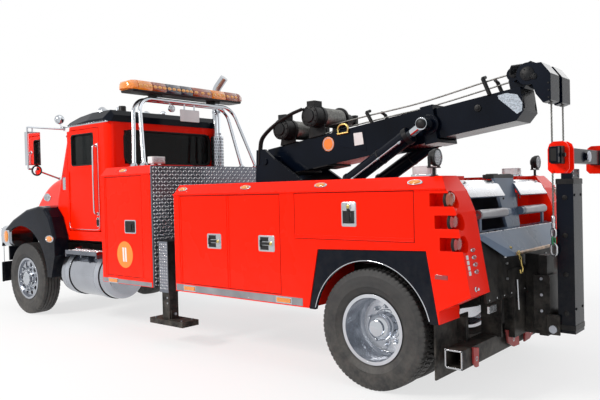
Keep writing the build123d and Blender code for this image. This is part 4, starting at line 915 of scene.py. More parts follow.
# %% Make the bumper
BUMPER_FACE = 4.14
BUMPER_OUTLINE = (
    (4.14, -0.82), (4.14, 0.82), (4.055, 1.178), (4.01, 1.198), (4.01, 1.16), (4.04, 1.145), (4.112, 0.8),
    (4.112, -0.8), (4.04, -1.145), (4.01, -1.16), (4.01, -1.198), (4.055, -1.178))
steel, shape, lenses, dark = new_shapes(4)
add_prism(steel, BUMPER_OUTLINE, 0.432, 0.733, plane="xy")
for side in (1, -1):
    centre = Vector((BUMPER_FACE - 0.004, side * 0.62, 0.585))
    add_turned(shape, ((0.062, 0.0), (0.062, 0.009), (0.052, 0.013), (0.05, 0.0)), centre, (1, 0, 0),
        steps=28, closed=True)
    add_turned(lenses, ((0.051, 0.0), (0.046, 0.01), (0.02, 0.0125), (0, 0.013)), centre, (1, 0, 0), steps=28)
    hole_y = side * 0.315
    add_prism(shape, rounded_loop(hole_y - 0.05, hole_y + 0.05, 0.54, 0.63, 0.02), BUMPER_FACE - 0.002,
        BUMPER_FACE + 0.007, plane="yz")
    # a black sheet in each uncut tow pin hole: painted shade for the hole's inside
    add_prism(dark, rounded_loop(hole_y - 0.022, hole_y + 0.022, 0.555, 0.615, 0.02), BUMPER_FACE + 0.006,
        BUMPER_FACE + 0.008, plane="yz")
    add_rod(shape, (4.03, side * 1.15, 0.73), (4.03, side * 1.15, 1.02), 0.006, sides=10)
    add_ball(shape, (4.03, side * 1.15, 1.03), 0.014, detail=12)
for y in (-0.72, -0.45, 0.45, 0.72):
    add_ball(shape, (BUMPER_FACE, y, 0.69), 0.014, (0.3, 1, 1), detail=12)
bumper = make_piece("bumper_steel", steel, "black_paint", bevel=0.01)
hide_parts("front_bumper")
make_piece("bumper_fittings", shape, "chrome", bevel=0.0015)
make_piece("fog_lamp_lenses", lenses, "clear_lens")
make_piece("tow_pin_hole_shade", dark, "black_plastic")
print("bumper dressed")


# %% [markdown]
# ## Tread plate
#
# Tread plate is rolled with raised lozenges that lean one way and then the other, and each catches the
# light at its own moment. A bump texture would not show at the plate's edges, so each lozenge is a small
# ridge of six points. There are thousands, so they go straight into one mesh from lists of points and
# faces, which is far quicker than adding forms one by one.

# %% Lay lozenges on the plates
LOZENGE_FACES = ((0, 1, 4), (1, 2, 5), (1, 5, 4), (2, 3, 5), (3, 0, 4), (3, 4, 5), (3, 2, 1, 0))


class TreadPattern:
    """Collects the ridges of every plate that shares one piece."""
    def __init__(self):
        self.points, self.faces = [], []

    def lay(self, corner, along, across, size, pitch=0.04, keep=None):
        """Covers a rectangle: size[0] along the first direction and size[1] along the second."""
        corner, along, across = Vector(corner), Vector(along), Vector(across)
        normal = along.cross(across)
        columns, rows = int(size[0] / pitch), int(size[1] / pitch)
        for column in range(columns):
            for row in range(rows):
                middle = corner + along * ((column + 0.5) * size[0] / columns)
                middle = middle + across * ((row + 0.5) * size[1] / rows)
                if keep and not keep(middle):
                    continue
                lean = 1 if (column + row) % 2 else -1
                long = (along * lean + across).normalized() * pitch * 0.52
                wide = (along - across * lean).normalized() * pitch * 0.17
                start = len(self.points)
                self.points += [middle - long, middle - wide, middle + long, middle + wide,
                                middle - long * 0.5 + normal * 0.0048, middle + long * 0.5 + normal * 0.0048]
                self.faces += [[start + index for index in face] for face in LOZENGE_FACES]

    def finish(self, name):
        mesh = bpy.data.meshes.new(name)
        mesh.from_pydata(self.points, [], self.faces)
        print(name, "lozenges:", len(self.points) // 6)
        put_on(bpy.data.objects.new(name, mesh), "bright_lozenge", "chassis")


headboard, plates = TreadPattern(), TreadPattern()
HEADBOARD_REAR_X = 0.225
headboard.lay((HEADBOARD_REAR_X, 1.208, 0.655), (0, -1, 0), (0, 0, 1), (2.416, 1.38),
              keep=lambda point: abs(point.y) > 0.615 or point.z > 1.175)
headboard.finish("headboard_lozenges")
plates.lay((-3.27, -0.55, 1.64), (1, 0, 0), (0, 1, 0), (3.48, 1.1), 0.05,
           keep=lambda point: not (-1.74 < point.x < -0.6 and abs(point.y) > 0.32)
           and not (-1.97 < point.x < -1.7 and abs(point.y) > 0.19))
for side in (1, -1):
    low = 0.6 if side > 0 else -1.205
    plates.lay((-0.164, low, 0.665), (0, 1, 0), (0, 0, 1), (0.6, 1.02), 0.04)
    plates.lay((1.52, side * 1.055 - 0.092, 0.985), (1, 0, 0), (0, 1, 0), (0.7, 0.184), 0.04)
plates.finish("deck_lozenges")

# the cover on each jack's sleeve
SLEEVE_FACE_Y, SLEEVE_X = 1.18, 0.09
for name, side in SIDES:
    shape = bmesh.new()
    low, high = sorted((side * SLEEVE_FACE_Y, side * (SLEEVE_FACE_Y + 0.004)))
    add_box(shape, (SLEEVE_X - 0.078, low, 0.605), (SLEEVE_X + 0.078, high, 1.176))
    add_box(shape, (SLEEVE_X - 0.08, low, 0.601), (SLEEVE_X + 0.08, high + 0.002, 0.622))
    make_piece(f"jack_cover_{name}", shape, "tread_plate", bevel=0.001)
    cover = TreadPattern()
    corner = (SLEEVE_X + side * 0.074, side * (SLEEVE_FACE_Y + 0.004), 0.63)
    cover.lay(corner, (-side, 0, 0), (0, 0, 1), (0.148, 0.53), 0.032)
    cover.finish(f"jack_cover_lozenges_{name}")

# %% [markdown]
# ## Door latches
#
# The toolbox doors close with folding T latches. Each is a pressed stainless plate with two dark finger
# wells, a black handle between them and a round key boss at one end. The wide door that drops down has
# one such latch set upright, and the tall door has a flush paddle in a dark well with a bright rim.
# One function builds a latch in its own flat frame, which is then stood on any door.

# %% Build the latches
PLATE_HALF = (0.106, 0.078)


def add_latch(plate, wells, handle, key, place):
    """A T latch lying in the XY plane of place, with its handle along X and Z standing out of the door."""
    outline = rounded_loop(-PLATE_HALF[0], PLATE_HALF[0], -PLATE_HALF[1], PLATE_HALF[1], 0.016, steps=4)
    rim = rounded_loop(-PLATE_HALF[0] + 0.007, PLATE_HALF[0] - 0.007, -PLATE_HALF[1] + 0.007,
                       PLATE_HALF[1] - 0.007, 0.012, steps=4)
    levels = ((outline, -0.001), (outline, 0.0025), (rim, 0.005))
    skin(plate, [[place @ Vector((u, v, height)) for u, v in points] for points, height in levels])
    for v in (-0.04, 0.04):
        add_box(wells, (-0.078, v - 0.021, 0.0), (0.03, v + 0.021, 0.0058), place)
        add_box(plate, (-0.083, v + (0.021 if v > 0 else -0.026), 0.004),
            (0.035, v + (0.026 if v > 0 else -0.021), 0.0085), place)
    add_box(handle, (-0.072, -0.013, 0.004), (0.052, 0.013, 0.017), place)
    add_box(handle, (-0.078, -0.034, 0.006), (-0.062, 0.034, 0.016), place)
    centre, out = place @ Vector((0.066, 0, 0.004)), place.col[2].xyz
    add_turned(plate, ((0.028, 0.0), (0.028, 0.006), (0.024, 0.009), (0.0, 0.009)), centre, out, steps=24)
    add_turned(key, ((0.017, 0.008), (0.017, 0.012), (0.012, 0.014), (0.0, 0.014)), centre, out, steps=20)
    add_box(key, (0.052, -0.003, 0.018), (0.08, 0.003, 0.0205), place)


def door_frame(x, side, z, turn=0):
    """A frame on a side door's face: X towards the truck's rear as seen, Y up, Z outwards."""
    upright = Matrix(((-side, 0, 0), (0, 0, side), (0, 1, 0))).to_4x4()
    return Matrix.Translation((x, side * 1.2202, z)) @ upright @ Matrix.Rotation(radians(turn), 4, "Z")


LATCHES = (("front_door", -0.81, 1.213, 0), ("rear_door", -1.548, 1.215, 0), ("wide_door", -2.525, 1.5, 90))
for name, side in SIDES:
    for door, x, z, turn in LATCHES:
        plate, wells, handle, key = new_shapes(4)
        add_latch(plate, wells, handle, key, door_frame(x, side, z, turn))
        body = f"{door}_{name}"
        make_piece(f"{door}_latch_{name}", plate, "latch_steel", body, bevel=0.0008)
        make_piece(f"{door}_wells_{name}", wells, "black_plastic", body)
        make_piece(f"{door}_handle_{name}", handle, "black_plastic", body, bevel=0.003)
        make_piece(f"{door}_key_{name}", key, "gold_zinc", body, bevel=0.0005)
    place = door_frame(0.64, side, 1.335)
    rim, well, paddle = new_shapes(3)
    outer = rounded_loop(-0.112, 0.112, -0.08, 0.08, 0.018, steps=4)
    inner = rounded_loop(-0.098, 0.098, -0.067, 0.067, 0.014, steps=4)
    skin(rim, [[place @ Vector((u, v, height)) for u, v in points] for points, height in
               ((outer, -0.001), (outer, 0.007), (inner, 0.009), (inner, -0.001))], loop=True)
    add_prism(well, [(x, z) for x, _, z in (place @ Vector((u, v, 0)) for u, v in inner)], side * 1.2195,
        side * 1.2215)
    add_box(paddle, (-0.075, -0.045, 0.0), (0.02, 0.03, 0.01), place)
    add_box(paddle, (0.034, -0.045, 0.0), (0.08, 0.045, 0.007), place)
    add_rod(paddle, place @ Vector((0.057, 0, 0.004)), place @ Vector((0.057, 0, 0.012)), 0.014, sides=16)
    make_piece(f"tall_latch_rim_{name}", rim, "chrome", f"tall_door_{name}")
    make_piece(f"tall_latch_well_{name}", well, "black_plastic", f"tall_door_{name}")
    make_piece(f"tall_latch_paddle_{name}", paddle, "cast_black", f"tall_door_{name}",
        bevel=0.003)
print("latches:", len(LATCHES) * 2, "T handles and 2 paddles")

# %% [markdown]
# ## Seams, strips and markers on the boxes
#
# Round each door runs a thin black rubber seal that shows as a dark line. Low on the boxes a grey steel
# kick strip carries amber lamps in bright bezels, and the sloping top rail carries oval amber markers.
# The plain orange disc on the tall door stands where an owner would put a sign.

# %% Dress the boxes
DOORS = (
    ("tall_door", 0.42, 1.16, 0.745, 1.925), ("front_door", -0.996, -0.26, 0.745, 1.68),
    ("rear_door", -1.72, -1.004, 0.745, 1.68), ("wide_door", -3.155, -1.912, 1.282, 1.688))
OVALS = ((0.82, 1.998), (-0.28, 1.753), (-1.24, 1.753), (-2.19, 1.753), (-3.15, 1.753))
STRIPS = ((0.262, 1.236, 0.652, 0.702), (-1.985, -0.18, 0.657, 0.728))
STRIP_LAMPS = ((1.02, 0.677), (-0.405, 0.692), (-1.755, 0.692))
strips, bezels, lenses, ovals, rims = new_shapes(5)
for name, side in SIDES:
    for low_x, high_x, low_z, high_z in STRIPS:
        add_box(strips, (low_x, side * 1.219, low_z), (high_x, side * 1.2225, high_z))
        for step in range(int((high_x - low_x) / 0.16)):
            add_ball(bezels, (low_x + 0.06 + step * 0.16, side * 1.222, low_z + 0.01), 0.005, (1, 0.5, 1),
                detail=8)
    for x, z in STRIP_LAMPS:
        place = door_frame(x, side, z)
        add_box(bezels, (-0.1, -0.031, 0.0), (0.1, 0.031, 0.006), place)
        add_box(lenses, (-0.086, -0.021, 0.004), (0.086, 0.021, 0.0125), place)
    for index, (x, z) in enumerate(OVALS):
        place = frame_on("tall_boxes" if index == 0 else f"side_body_{name}",
                         (x, side * 1.6, z), (0, -side, 0))
        add_oval(rims, place, 0.072, 0.03, OVAL_BEZEL)
        add_oval(ovals, place, 0.072, 0.03, OVAL_LENS)
make_piece("kick_strips", strips, "strip_grey", bevel=0.001)
make_piece("strip_lamp_bezels", bezels, "chrome", bevel=0.0015)
make_piece("strip_lamps", lenses, "amber_lens", bevel=0.003)
make_piece("rail_marker_rims", rims, "chrome")
make_piece("rail_markers", ovals, "amber_lens")

for name, side in SIDES:
    for door, *box in DOORS:
        shape = bmesh.new()
        outer, inner = shrunk(box, -0.0055, 0.004, 1), shrunk(box, -0.0008, 0.003, 1)
        skin(shape, [[(u, side * y, v) for u, v in points] for points, y in
                     ((outer, 1.186), (outer, 1.2165), (inner, 1.2165), (inner, 1.186))], loop=True)
        make_piece(f"{door}_seal_{name}", shape, "black_rubber")
    shape, marks = new_shapes(2)
    add_prism(shape, [(0.77 + u, 1.0 + v) for u, v in ring_of(48, 0.158)], side * 1.2195, side * 1.2212)
    make_piece(f"door_disc_{name}", shape, "orange_decal", f"tall_door_{name}")
    for offset in (-0.024, 0.024):
        bar = [(x + offset, z) for x, z in ((0.755, 0.915), (0.785, 0.915), (0.795, 1.085), (0.765, 1.085))]
        add_prism(marks, bar, side * 1.2205, side * 1.2222)
    make_piece(f"door_disc_marks_{name}", marks, "white_box", f"tall_door_{name}")
print("ovals:", 2 * len(OVALS), "strip lamps:", 2 * len(STRIP_LAMPS))

# %% [markdown]
# ## Wheel arch trim and tail corners
#
# The arch cut in the black splash panel is edged with a bright bead. Behind it the box's rear corner has
# three deep round pockets with lamps, and below them a column of small oval lamps, a reflector and a
# white strip.

# %% Trim the arches and light the tail corners
ARCH_RADIUS = 0.59
bead_runs = []
for side in (1, -1):
    angles = [radians(-8 + step * 196 / 36) for step in range(37)]
    bead_runs.append([(-2.7 + ARCH_RADIUS * cos(angle), side * 1.213, 0.52 + ARCH_RADIUS * sin(angle))
                      for angle in angles if 0.52 + ARCH_RADIUS * sin(angle) > 0.642])
make_pipes("arch_beads", bead_runs, 0.0045, "chrome")

POCKETS = ((-3.3, 1.616, "amber"), (-3.34, 1.444, "red"), (-3.38, 1.273, "red"))
POCKET_Y, POCKET_RADIUS = 1.175, 0.068


def cut_copy(node_name, name, body, finish_name, holes, smooth_angle=5.5):
    """A copy of a CAD node with round holes cut in it, which then stands for the node."""
    shape = bmesh.new()
    for start, end, radius in holes:
        add_rod(shape, start, end, radius, sides=72)
    cutter_mesh = bpy.data.meshes.new(name + "_cutter")
    shape.to_mesh(cutter_mesh)
    shape.free()
    cutter = bpy.data.objects.new(name + "_cutter", cutter_mesh)
    solid = bmesh.new()
    solid.from_mesh(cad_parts[node_name].data)
    bmesh.ops.remove_doubles(solid, verts=solid.verts, dist=0.00002)
    mesh = bpy.data.meshes.new(name)
    solid.to_mesh(mesh)
    solid.free()
    mesh.materials.clear()
    uncut = bpy.data.objects.new(name + "_uncut", mesh)
    for piece in (cutter, uncut):
        scene.collection.objects.link(piece)
    cut = uncut.modifiers.new("holes", "BOOLEAN")
    cut.object = cutter
    cut.operation = "DIFFERENCE"
    cut.solver = "EXACT"
    final = bpy.data.meshes.new_from_object(uncut.evaluated_get(bpy.context.evaluated_depsgraph_get()))
    for piece in (cutter, uncut):
        bpy.data.objects.remove(piece)
    final.materials.clear()
    shape = bmesh.new()
    shape.from_mesh(final)
    print(name, "faces:", len(shape.faces))
    cut_piece = make_piece(name, shape, finish_name, body, smooth_angle=smooth_angle)
    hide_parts(node_name)


LAMP = ((0.06, 0.0), (0.06, 0.03), (0.05, 0.046), (0.025, 0.054), (0.0, 0.056))
pockets = {"amber": bmesh.new(), "red": bmesh.new()}
rims, small, small_rims, reflectors, white = new_shapes(5)
for name, side in SIDES:
    for x, z, colour in POCKETS:
        rear_x = -3.48 - (1.616 - z) * 0.17
        centre = Vector((rear_x + 0.055, side * POCKET_Y, z))
        add_turned(pockets[colour], LAMP, centre, (-1, 0, 0))
        add_turned(rims, ((0.066, 0.0), (0.066, 0.018), (0.06, 0.022), (0.058, 0.0)), centre, (-1, 0, 0),
            closed=True)
    for step in range(4):
        share = step / 3
        x, z = -3.548 - 0.062 * share, 1.222 - 0.165 * share
        place = frame_on(f"side_body_{name}", (-4.2, side * 1.06, z), (1, 0, 0))
        add_oval(small_rims, place, 0.034, 0.017, OVAL_BEZEL, steps=20)
        add_oval(small, place, 0.034, 0.017, OVAL_LENS, steps=20)
    add_box(reflectors, (-3.443, side * 1.2195, 1.0), (-3.333, side * 1.2235, 1.036))
    body_name = f"side_body_{name}"
    for z in (1.175, 1.135, 1.095, 1.055):
        place = frame_on(body_name, (-4.2, side * 1.165, z), (1, 0, 0))
        add_box(white, (-0.018, -0.016, -0.001), (0.018, 0.016, 0.003), place)
    place = frame_on(body_name, (-4.2, side * 1.12, 0.93), (1, 0, 0))
    add_turned(small_rims, ((0.02, 0.0), (0.02, 0.006), (0.013, 0.01), (0.012, 0.028), (0.0, 0.034)),
        place.translation, place.col[2].xyz, steps=20)
make_piece("pocket_lamps_amber", pockets["amber"], "dark_amber_lens")
make_piece("pocket_lamps_red", pockets["red"], "red_lens")
make_piece("pocket_lamp_rims", rims, "black_rubber")
make_piece("corner_lamp_rims", small_rims, "chrome")
make_piece("corner_lamps", small, "red_lens")
make_piece("corner_reflectors", reflectors, "red_lens", bevel=0.002)
make_piece("corner_strips", white, "white_box")
print("tail corners: lamps", 2 * (len(POCKETS) + 4))

# %% Cut the pockets and the rims' hand holes
for name, side in SIDES:
    cut_copy(f"side_body_{name}", f"pocketed_body_{name}", "chassis", "red_paint",
             [((x, side * POCKET_Y, z), (-3.9, side * POCKET_Y, z), POCKET_RADIUS) for x, z, _ in POCKETS])
    hand_holes = [((-2.7 + u, side * 1.0, 0.52 + v), (-2.7 + u, side * 1.3, 0.52 + v), 0.03)
                  for u, v in ring_of(10, 0.215)]
    cut_copy(f"rear_rims_{name}", f"holed_rims_{name}", f"rear_wheels_{name}", "rim_alloy",
             hand_holes, smooth_angle=25)

# %% [markdown]
# ## Lamps on top
#
# The light bar is a row of moulded domes on a dark tray: amber at both ends and dark in the middle, with
# seams between the modules. Its cross section is a flattened octagon, so each module is a short loft of
# that outline, and the end modules shrink towards their tips. The CAD node that stood for the lamps is
# hidden, and these pieces take its place.

# %% Build the light bar
BAR_OUTLINE = (
    (0.915, 3.022), (1.185, 3.022), (1.198, 3.045), (1.19, 3.1), (1.15, 3.144), (0.95, 3.144), (0.91, 3.1),
    (0.902, 3.045))
BAR_MIDDLE = Vector((1.05, 3.06))


def add_module(shape, stations):
    """A loft of the bar's outline along Y, from (y, size share) stations."""
    skin(shape, [[(BAR_MIDDLE.x + (x - BAR_MIDDLE.x) * share, y, BAR_MIDDLE.y + (z - BAR_MIDDLE.y) * share)
                  for x, z in BAR_OUTLINE] for y, share in stations])


MODULES = (
    ("amber_lens", 0.64, 0.86), ("dark_amber_lens", 0.42, 0.635), ("smoked_lens", 0.18, 0.415),
    ("smoked_lens", -0.02, 0.175), ("dark_amber_lens", -0.36, -0.025), ("amber_lens", -0.62, -0.365),
    ("dark_amber_lens", -0.86, -0.625))
domes = {finish: bmesh.new() for finish in ("amber_lens", "dark_amber_lens", "smoked_lens")}
bulbs, tray = new_shapes(2)
for finish, low, high in MODULES:
    add_module(domes[finish], ((low, 0.97), (low + 0.006, 1.0), (high - 0.006, 1.0), (high, 0.97)))
    for step in range(3):
        y = low + (high - low) * (step + 0.5) / 3
        for x in (0.9085, 1.1915):
            add_ball(bulbs, (x, y, 3.074), 0.03, (0.3, 1.1, 0.7), detail=12)
TIP = ((0.863, 0.98), (0.87, 1.0), (0.93, 0.94), (0.968, 0.78), (0.985, 0.55))
for side, finish in ((1, "amber_lens"), (-1, "dark_amber_lens")):
    add_module(domes[finish], [(side * y, share) for y, share in TIP])
add_prism(tray, ((0.93, 2.996), (1.17, 2.996), (1.182, 3.008), (1.182, 3.026), (0.918, 3.026),
    (0.918, 3.008)), -0.93, 0.93)
for y in (-0.5, 0.5):
    add_box(tray, (0.955, y - 0.045, 2.96), (1.145, y + 0.045, 3.0))
bar_piece = make_piece("light_bar_amber", domes["amber_lens"], "amber_lens", bevel=0.004)
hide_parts("lamps")
make_piece("light_bar_brown", domes["dark_amber_lens"], "dark_amber_lens", bevel=0.004)
make_piece("light_bar_smoked", domes["smoked_lens"], "smoked_lens", bevel=0.004)
make_piece("light_bar_bulbs", bulbs, "bright_amber")
make_piece("light_bar_tray", tray, "black_plastic", bevel=0.003)
print("light bar modules:", len(MODULES) + 2)

# %% [markdown]
# ## Work lamps and strobes
#
# On each side body stands a round work lamp on a post, in a black housing with a clear lens behind a
# wire grid, and beside it a low clear strobe in a bright foot. A boxy white lamp sits on each tall box,
# and a round chrome lamp and a pale blank panel hang under the light bar.

# %% Build the other lamps
housing, posts, grids, clear, white, chrome = new_shapes(6)
for side in (1, -1):
    back = (-3.24, side * 1.1, 1.95)
    add_turned(housing, ((0.0, 0.0), (0.03, 0.0), (0.055, 0.018), (0.069, 0.045), (0.072, 0.078),
        (0.066, 0.082), (0.06, 0.07), (0.0, 0.066)), back, (-1, 0, 0))
    add_turned(clear, ((0.0, 0.066), (0.06, 0.07), (0.06, 0.074), (0.035, 0.08), (0.0, 0.082)), back,
        (-1, 0, 0))
    for step in range(-2, 3):
        reach = 0.06 * sqrt(1 - (step * 0.021 / 0.066) ** 2)
        add_rod(grids, (-3.322, side * 1.1 - reach, 1.95 + step * 0.021),
            (-3.322, side * 1.1 + reach, 1.95 + step * 0.021), 0.0016, sides=6)
        add_rod(grids, (-3.3235, side * 1.1 + step * 0.021, 1.95 - reach),
            (-3.3235, side * 1.1 + step * 0.021, 1.95 + reach), 0.0016, sides=6)
    add_rod(posts, (-3.28, side * 1.1, 1.806), (-3.28, side * 1.1, 1.872), 0.013, sides=14)
    add_box(posts, (-3.3, side * 1.1 - 0.078, 1.868), (-3.26, side * 1.1 + 0.078, 1.876))
    for y in (-0.075, 0.075):
        add_box(posts, (-3.293, side * 1.1 + y - 0.003, 1.87), (-3.267, side * 1.1 + y + 0.003, 1.96))
    add_turned(posts, ((0.04, 0), (0.04, 0.006), (0.02, 0.012), (0.013, 0.014)), (-3.28, side * 1.1, 1.8),
        (0, 0, 1), steps=20)
    low, high = sorted((side * 0.855, side * 0.995))
    add_prism(chrome, rounded_loop(-3.19, -3.005, low - 0.005, high + 0.005, 0.02), 1.803, 1.822, plane="xy")
    add_prism(clear, rounded_loop(-3.182, -3.013, low, high, 0.025), 1.822, 1.892, plane="xy")
    # box lamp on the tall box
    low, high = sorted((side * 0.93, side * 1.115))
    add_box(white, (0.33, low, 2.07), (0.42, high, 2.15))
    add_box(clear, (0.318, low + 0.012, 2.08), (0.332, high - 0.012, 2.14))
    for y in (low + 0.04, high - 0.04):
        add_box(chrome, (0.345, y - 0.01, 2.048), (0.405, y + 0.01, 2.072))
add_turned(chrome, ((0.0, 0.0), (0.03, 0.004), (0.044, 0.03), (0.047, 0.06), (0.043, 0.064), (0.04, 0.058),
    (0.0, 0.056)), (0.985, 0.325, 2.825), (-1, 0, 0), steps=28)
add_rod(chrome, (0.97, 0.325, 2.86), (0.985, 0.325, 2.915), 0.008, sides=10)
add_turned(clear, ((0.039, 0.056), (0.03, 0.064), (0.0, 0.068)), (0.985, 0.325, 2.825), (-1, 0, 0), steps=28)
panel = rounded_loop(-0.17, 0.16, 2.676, 2.836, 0.012)
add_prism(white, panel, 0.965, 0.977, plane="yz")
for y in (-0.09, 0.08):
    add_box(chrome, (0.976, y - 0.012, 2.8), (0.984, y + 0.012, 2.912))
make_piece("work_lamp_housings", housing, "black_plastic")
make_piece("work_lamp_posts", posts, "cast_black", bevel=0.001)
make_piece("work_lamp_grids", grids, "chrome")
make_piece("clear_lamps", clear, "clear_lens", bevel=0.003)
make_piece("white_lamp_boxes", white, "white_box", bevel=0.004)
make_piece("lamp_brackets", chrome, "chrome", bevel=0.001)
print("work lamps 2, strobes 2, box lamps 2")

# %% [markdown]
# ## Pylon feet, stack shield and tanks
#
# Small things tell how the big ones are fastened: bolted flanges under the chrome hoops, a slotted heat
# shield and clamps round the stack, and straps with rubber, filler caps and tie bolts on the fuel tanks.
# The shield's slots are not cut: small black blocks on it are painted shade.

# %% Dress pylon, stack and tanks
shape = bmesh.new()
for foot_x, foot_y in ((0.69, 0.97), (0.94, 0.935)):
    for side in (1, -1):
        foot = Vector((foot_x, side * foot_y, 2.05))
        add_turned(shape, ((0.062, 0.0), (0.062, 0.008), (0.036, 0.012), (0.032, 0.05), (0.0258, 0.056)),
            foot, (0, 0, 1), steps=28)
        for u, v in ring_of(6, 0.052, 0.3):
            add_rod(shape, foot + Vector((u, v, 0.004)), foot + Vector((u, v, 0.016)), 0.007, sides=6)
make_piece("pylon_flanges", shape, "chrome")

STACK = (1.327, -0.815)
shape, slots = new_shapes(2)
add_turned(shape, ((0.086, 2.02), (0.092, 2.024), (0.092, 2.536), (0.086, 2.54), (0.084, 2.536),
    (0.084, 2.024)), (STACK[0], STACK[1], 0), (0, 0, 1), steps=48, closed=True)
for z in (1.2, 1.98, 2.575, 2.9):
    radius = 0.0745 if z < 2.56 else 0.0635
    add_turned(shape, ((radius - 0.004, z - 0.016), (radius, z - 0.016), (radius, z + 0.016),
        (radius - 0.004, z + 0.016)), (STACK[0], STACK[1], 0), (0, 0, 1), steps=40, closed=True)
    add_box(shape, (STACK[0] - radius - 0.022, STACK[1] - 0.008, z - 0.012),
        (STACK[0] - radius + 0.002, STACK[1] + 0.008, z + 0.012))
make_piece("stack_shield", shape, "polished_alloy")
# black blocks on the shield stand for its slots: painted shade where the openings would be
for row in range(11):
    for u, v in ring_of(20, 0.0915, (row % 2) * pi / 20):
        place = Matrix.Translation((STACK[0] + u, STACK[1] + v, 2.06 + row * 0.044))
        place = place @ Matrix.Rotation(atan2(v, u), 4, "Z")
        add_box(slots, (-0.001, -0.005, -0.014), (0.0015, 0.005, 0.014), place)
make_piece("stack_slot_shade", slots, "black_plastic")

TANK = (0.85, 0.67)
straps, rubber, caps, steps_shape = new_shapes(4)
for side in (1, -1):
    start = (0, side * TANK[0], TANK[1])
    for low in (1.46, 2.16):
        add_turned(rubber, ((0.296, low - 0.006), (0.3088, low - 0.006), (0.3088, low + 0.106),
            (0.296, low + 0.106)), start, (1, 0, 0), steps=64, closed=True)
        add_turned(straps, ((0.304, low), (0.3112, low), (0.3112, low + 0.1), (0.304, low + 0.1)), start,
            (1, 0, 0), steps=64, closed=True)
        for x in (low + 0.025, low + 0.075):
            add_rod(straps, (x, side * (TANK[0] + 0.2), TANK[1] + 0.249),
                (x, side * (TANK[0] + 0.13), TANK[1] + 0.297), 0.008, sides=8)
    for x in (1.29, 2.42):
        outward = Vector((-1 if x < 2 else 1, 0, 0))
        centre = Vector((x, side * TANK[0], TANK[1])) - outward * 0.012
        add_turned(caps, ((0.238, 0.0), (0.24, 0.008), (0.226, 0.013), (0.12, 0.018), (0.0, 0.02)), centre,
            outward, steps=56)
    foot = Vector((2.31, side * (TANK[0] + 0.06), TANK[1] + 0.285))
    add_turned(caps, ((0.06, 0.0), (0.06, 0.02), (0.052, 0.024), (0.05, 0.046), (0.04, 0.052), (0.0, 0.053)),
        foot, (0, side * 0.2, 1))
    for x in (1.505, 1.865, 2.235):
        add_box(steps_shape, (x - 0.012, side * 0.958, 0.9), (x + 0.012, side * 1.152, 0.946))
    add_box(steps_shape, (1.495, side * 1.148, 0.935), (2.245, side * 1.152, 0.99))
make_piece("tank_straps", straps, "silver_steel", bevel=0.001)
make_piece("tank_strap_rubber", rubber, "black_rubber")
make_piece("tank_ends", caps, "polished_alloy")
make_piece("tank_step_frames", steps_shape, "tread_plate", bevel=0.002)
print("tank straps: 4")

# %% [markdown]
# ## Seats
#
# The cab's two seats show through the rear window and the doors. A seat cushion is a padded form: crowned
# in the middle, pulled in at its seams. Each one starts as a block that is divided many times, its faces
# are pushed out like a pillow, and channels are pressed in where the stitching runs.

# %% Pad the seats
SEAM_PITCH = 0.095


def make_pad(name, centre, size, lean, seams_along):
    """A crowned cushion with sewn channels, leaning back by an angle."""
    half = Vector(size) / 2
    shape = bmesh.new()
    bmesh.ops.create_cube(shape, size=2)
    bmesh.ops.subdivide_edges(shape, edges=shape.edges, cuts=21, use_grid_fill=True)
    for vert in shape.verts:
        u, v, w = vert.co
        pull = 1 - 0.1 * (abs(w) ** 4)
        crown = (1 - u ** 4) * (1 - v ** 4)
        corner = (abs(u) ** 6 + abs(v) ** 6) * 0.06
        seam = abs(((v if seams_along == "y" else u) * half.y / SEAM_PITCH) % 1 - 0.5)
        groove = 0.012 * max(0, 1 - seam / 0.1) if w > 0.5 and abs(u) < 0.86 and abs(v) < 0.86 else 0.0
        vert.co = Vector((u * half.x * (pull - corner), v * half.y * (pull - corner),
                          w * half.z * (0.72 + 0.28 * crown) - groove))
    place = Matrix.Translation(centre) @ Matrix.Rotation(lean, 4, "Y")
    bmesh.ops.transform(shape, matrix=place, verts=shape.verts)
    pad = make_piece(name, shape, "seat_cloth", smooth_angle=70)


shape, dark = new_shapes(2)
for number, y in enumerate((0.43, -0.43)):
    make_pad(f"seat_cushion_{number}", (1.87, y, 1.56), (0.5, 0.49, 0.17), radians(-4), "y")
    make_pad(f"seat_back_{number}", (1.605, y, 1.89), (0.62, 0.47, 0.15), radians(-97), "y")
    add_box(dark, (1.66, y - 0.235, 1.155), (2.1, y + 0.235, 1.49))
    add_prism(dark, ((1.502, 1.5), (1.6, 1.5), (1.555, 2.175), (1.492, 2.175)), y - 0.225, y + 0.225)
column, hub = Vector((2.38, 0.42, 1.74)), Vector((2.18, 0.42, 1.85))
across = Vector((0, 1, 0))
out = (hub - column).normalized()
steep = out.cross(across)
ring = [hub + out * 0.014 + (across * u + steep * v) for u, v in ring_of(40, 0.212)]
make_pipes("steering_wheel", [[point[:] for point in ring]], 0.014, "black_plastic", closed=True)
for angle in (radians(20), radians(160), radians(270)):
    add_rod(dark, hub + out * 0.012, hub + out * 0.014 + (across * cos(angle) + steep * sin(angle)) * 0.208,
        0.01, sides=10)
add_turned(dark, ((0.05, 0.0), (0.052, 0.02), (0.04, 0.034), (0.0, 0.038)), hub, out, steps=28)
add_rod(dark, column, hub + out * 0.005, 0.028)
add_prism(dark, ((2.38, 1.6), (2.598, 1.56), (2.598, 1.878), (2.43, 1.878), (2.36, 1.8)), -0.85, 0.85)
add_rod(dark, (2.15, 0.06, 1.14), (2.1, 0.08, 1.6), 0.01, sides=10)
add_ball(dark, (2.1, 0.08, 1.62), 0.028)
interior = make_piece("cab_fittings", dark, "cab_trim", bevel=0.006)
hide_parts("cab_interior")
for y in (0.62, 0.5, 0.38, 0.26):
    add_turned(shape, ((0.034, 0.0), (0.036, 0.004), (0.03, 0.007), (0.0, 0.006)), (2.372, y, 1.8),
        (-0.572, 0, 0.06), steps=24)
make_piece("dash_dials", shape, "white_box")
print("pads:", 4)

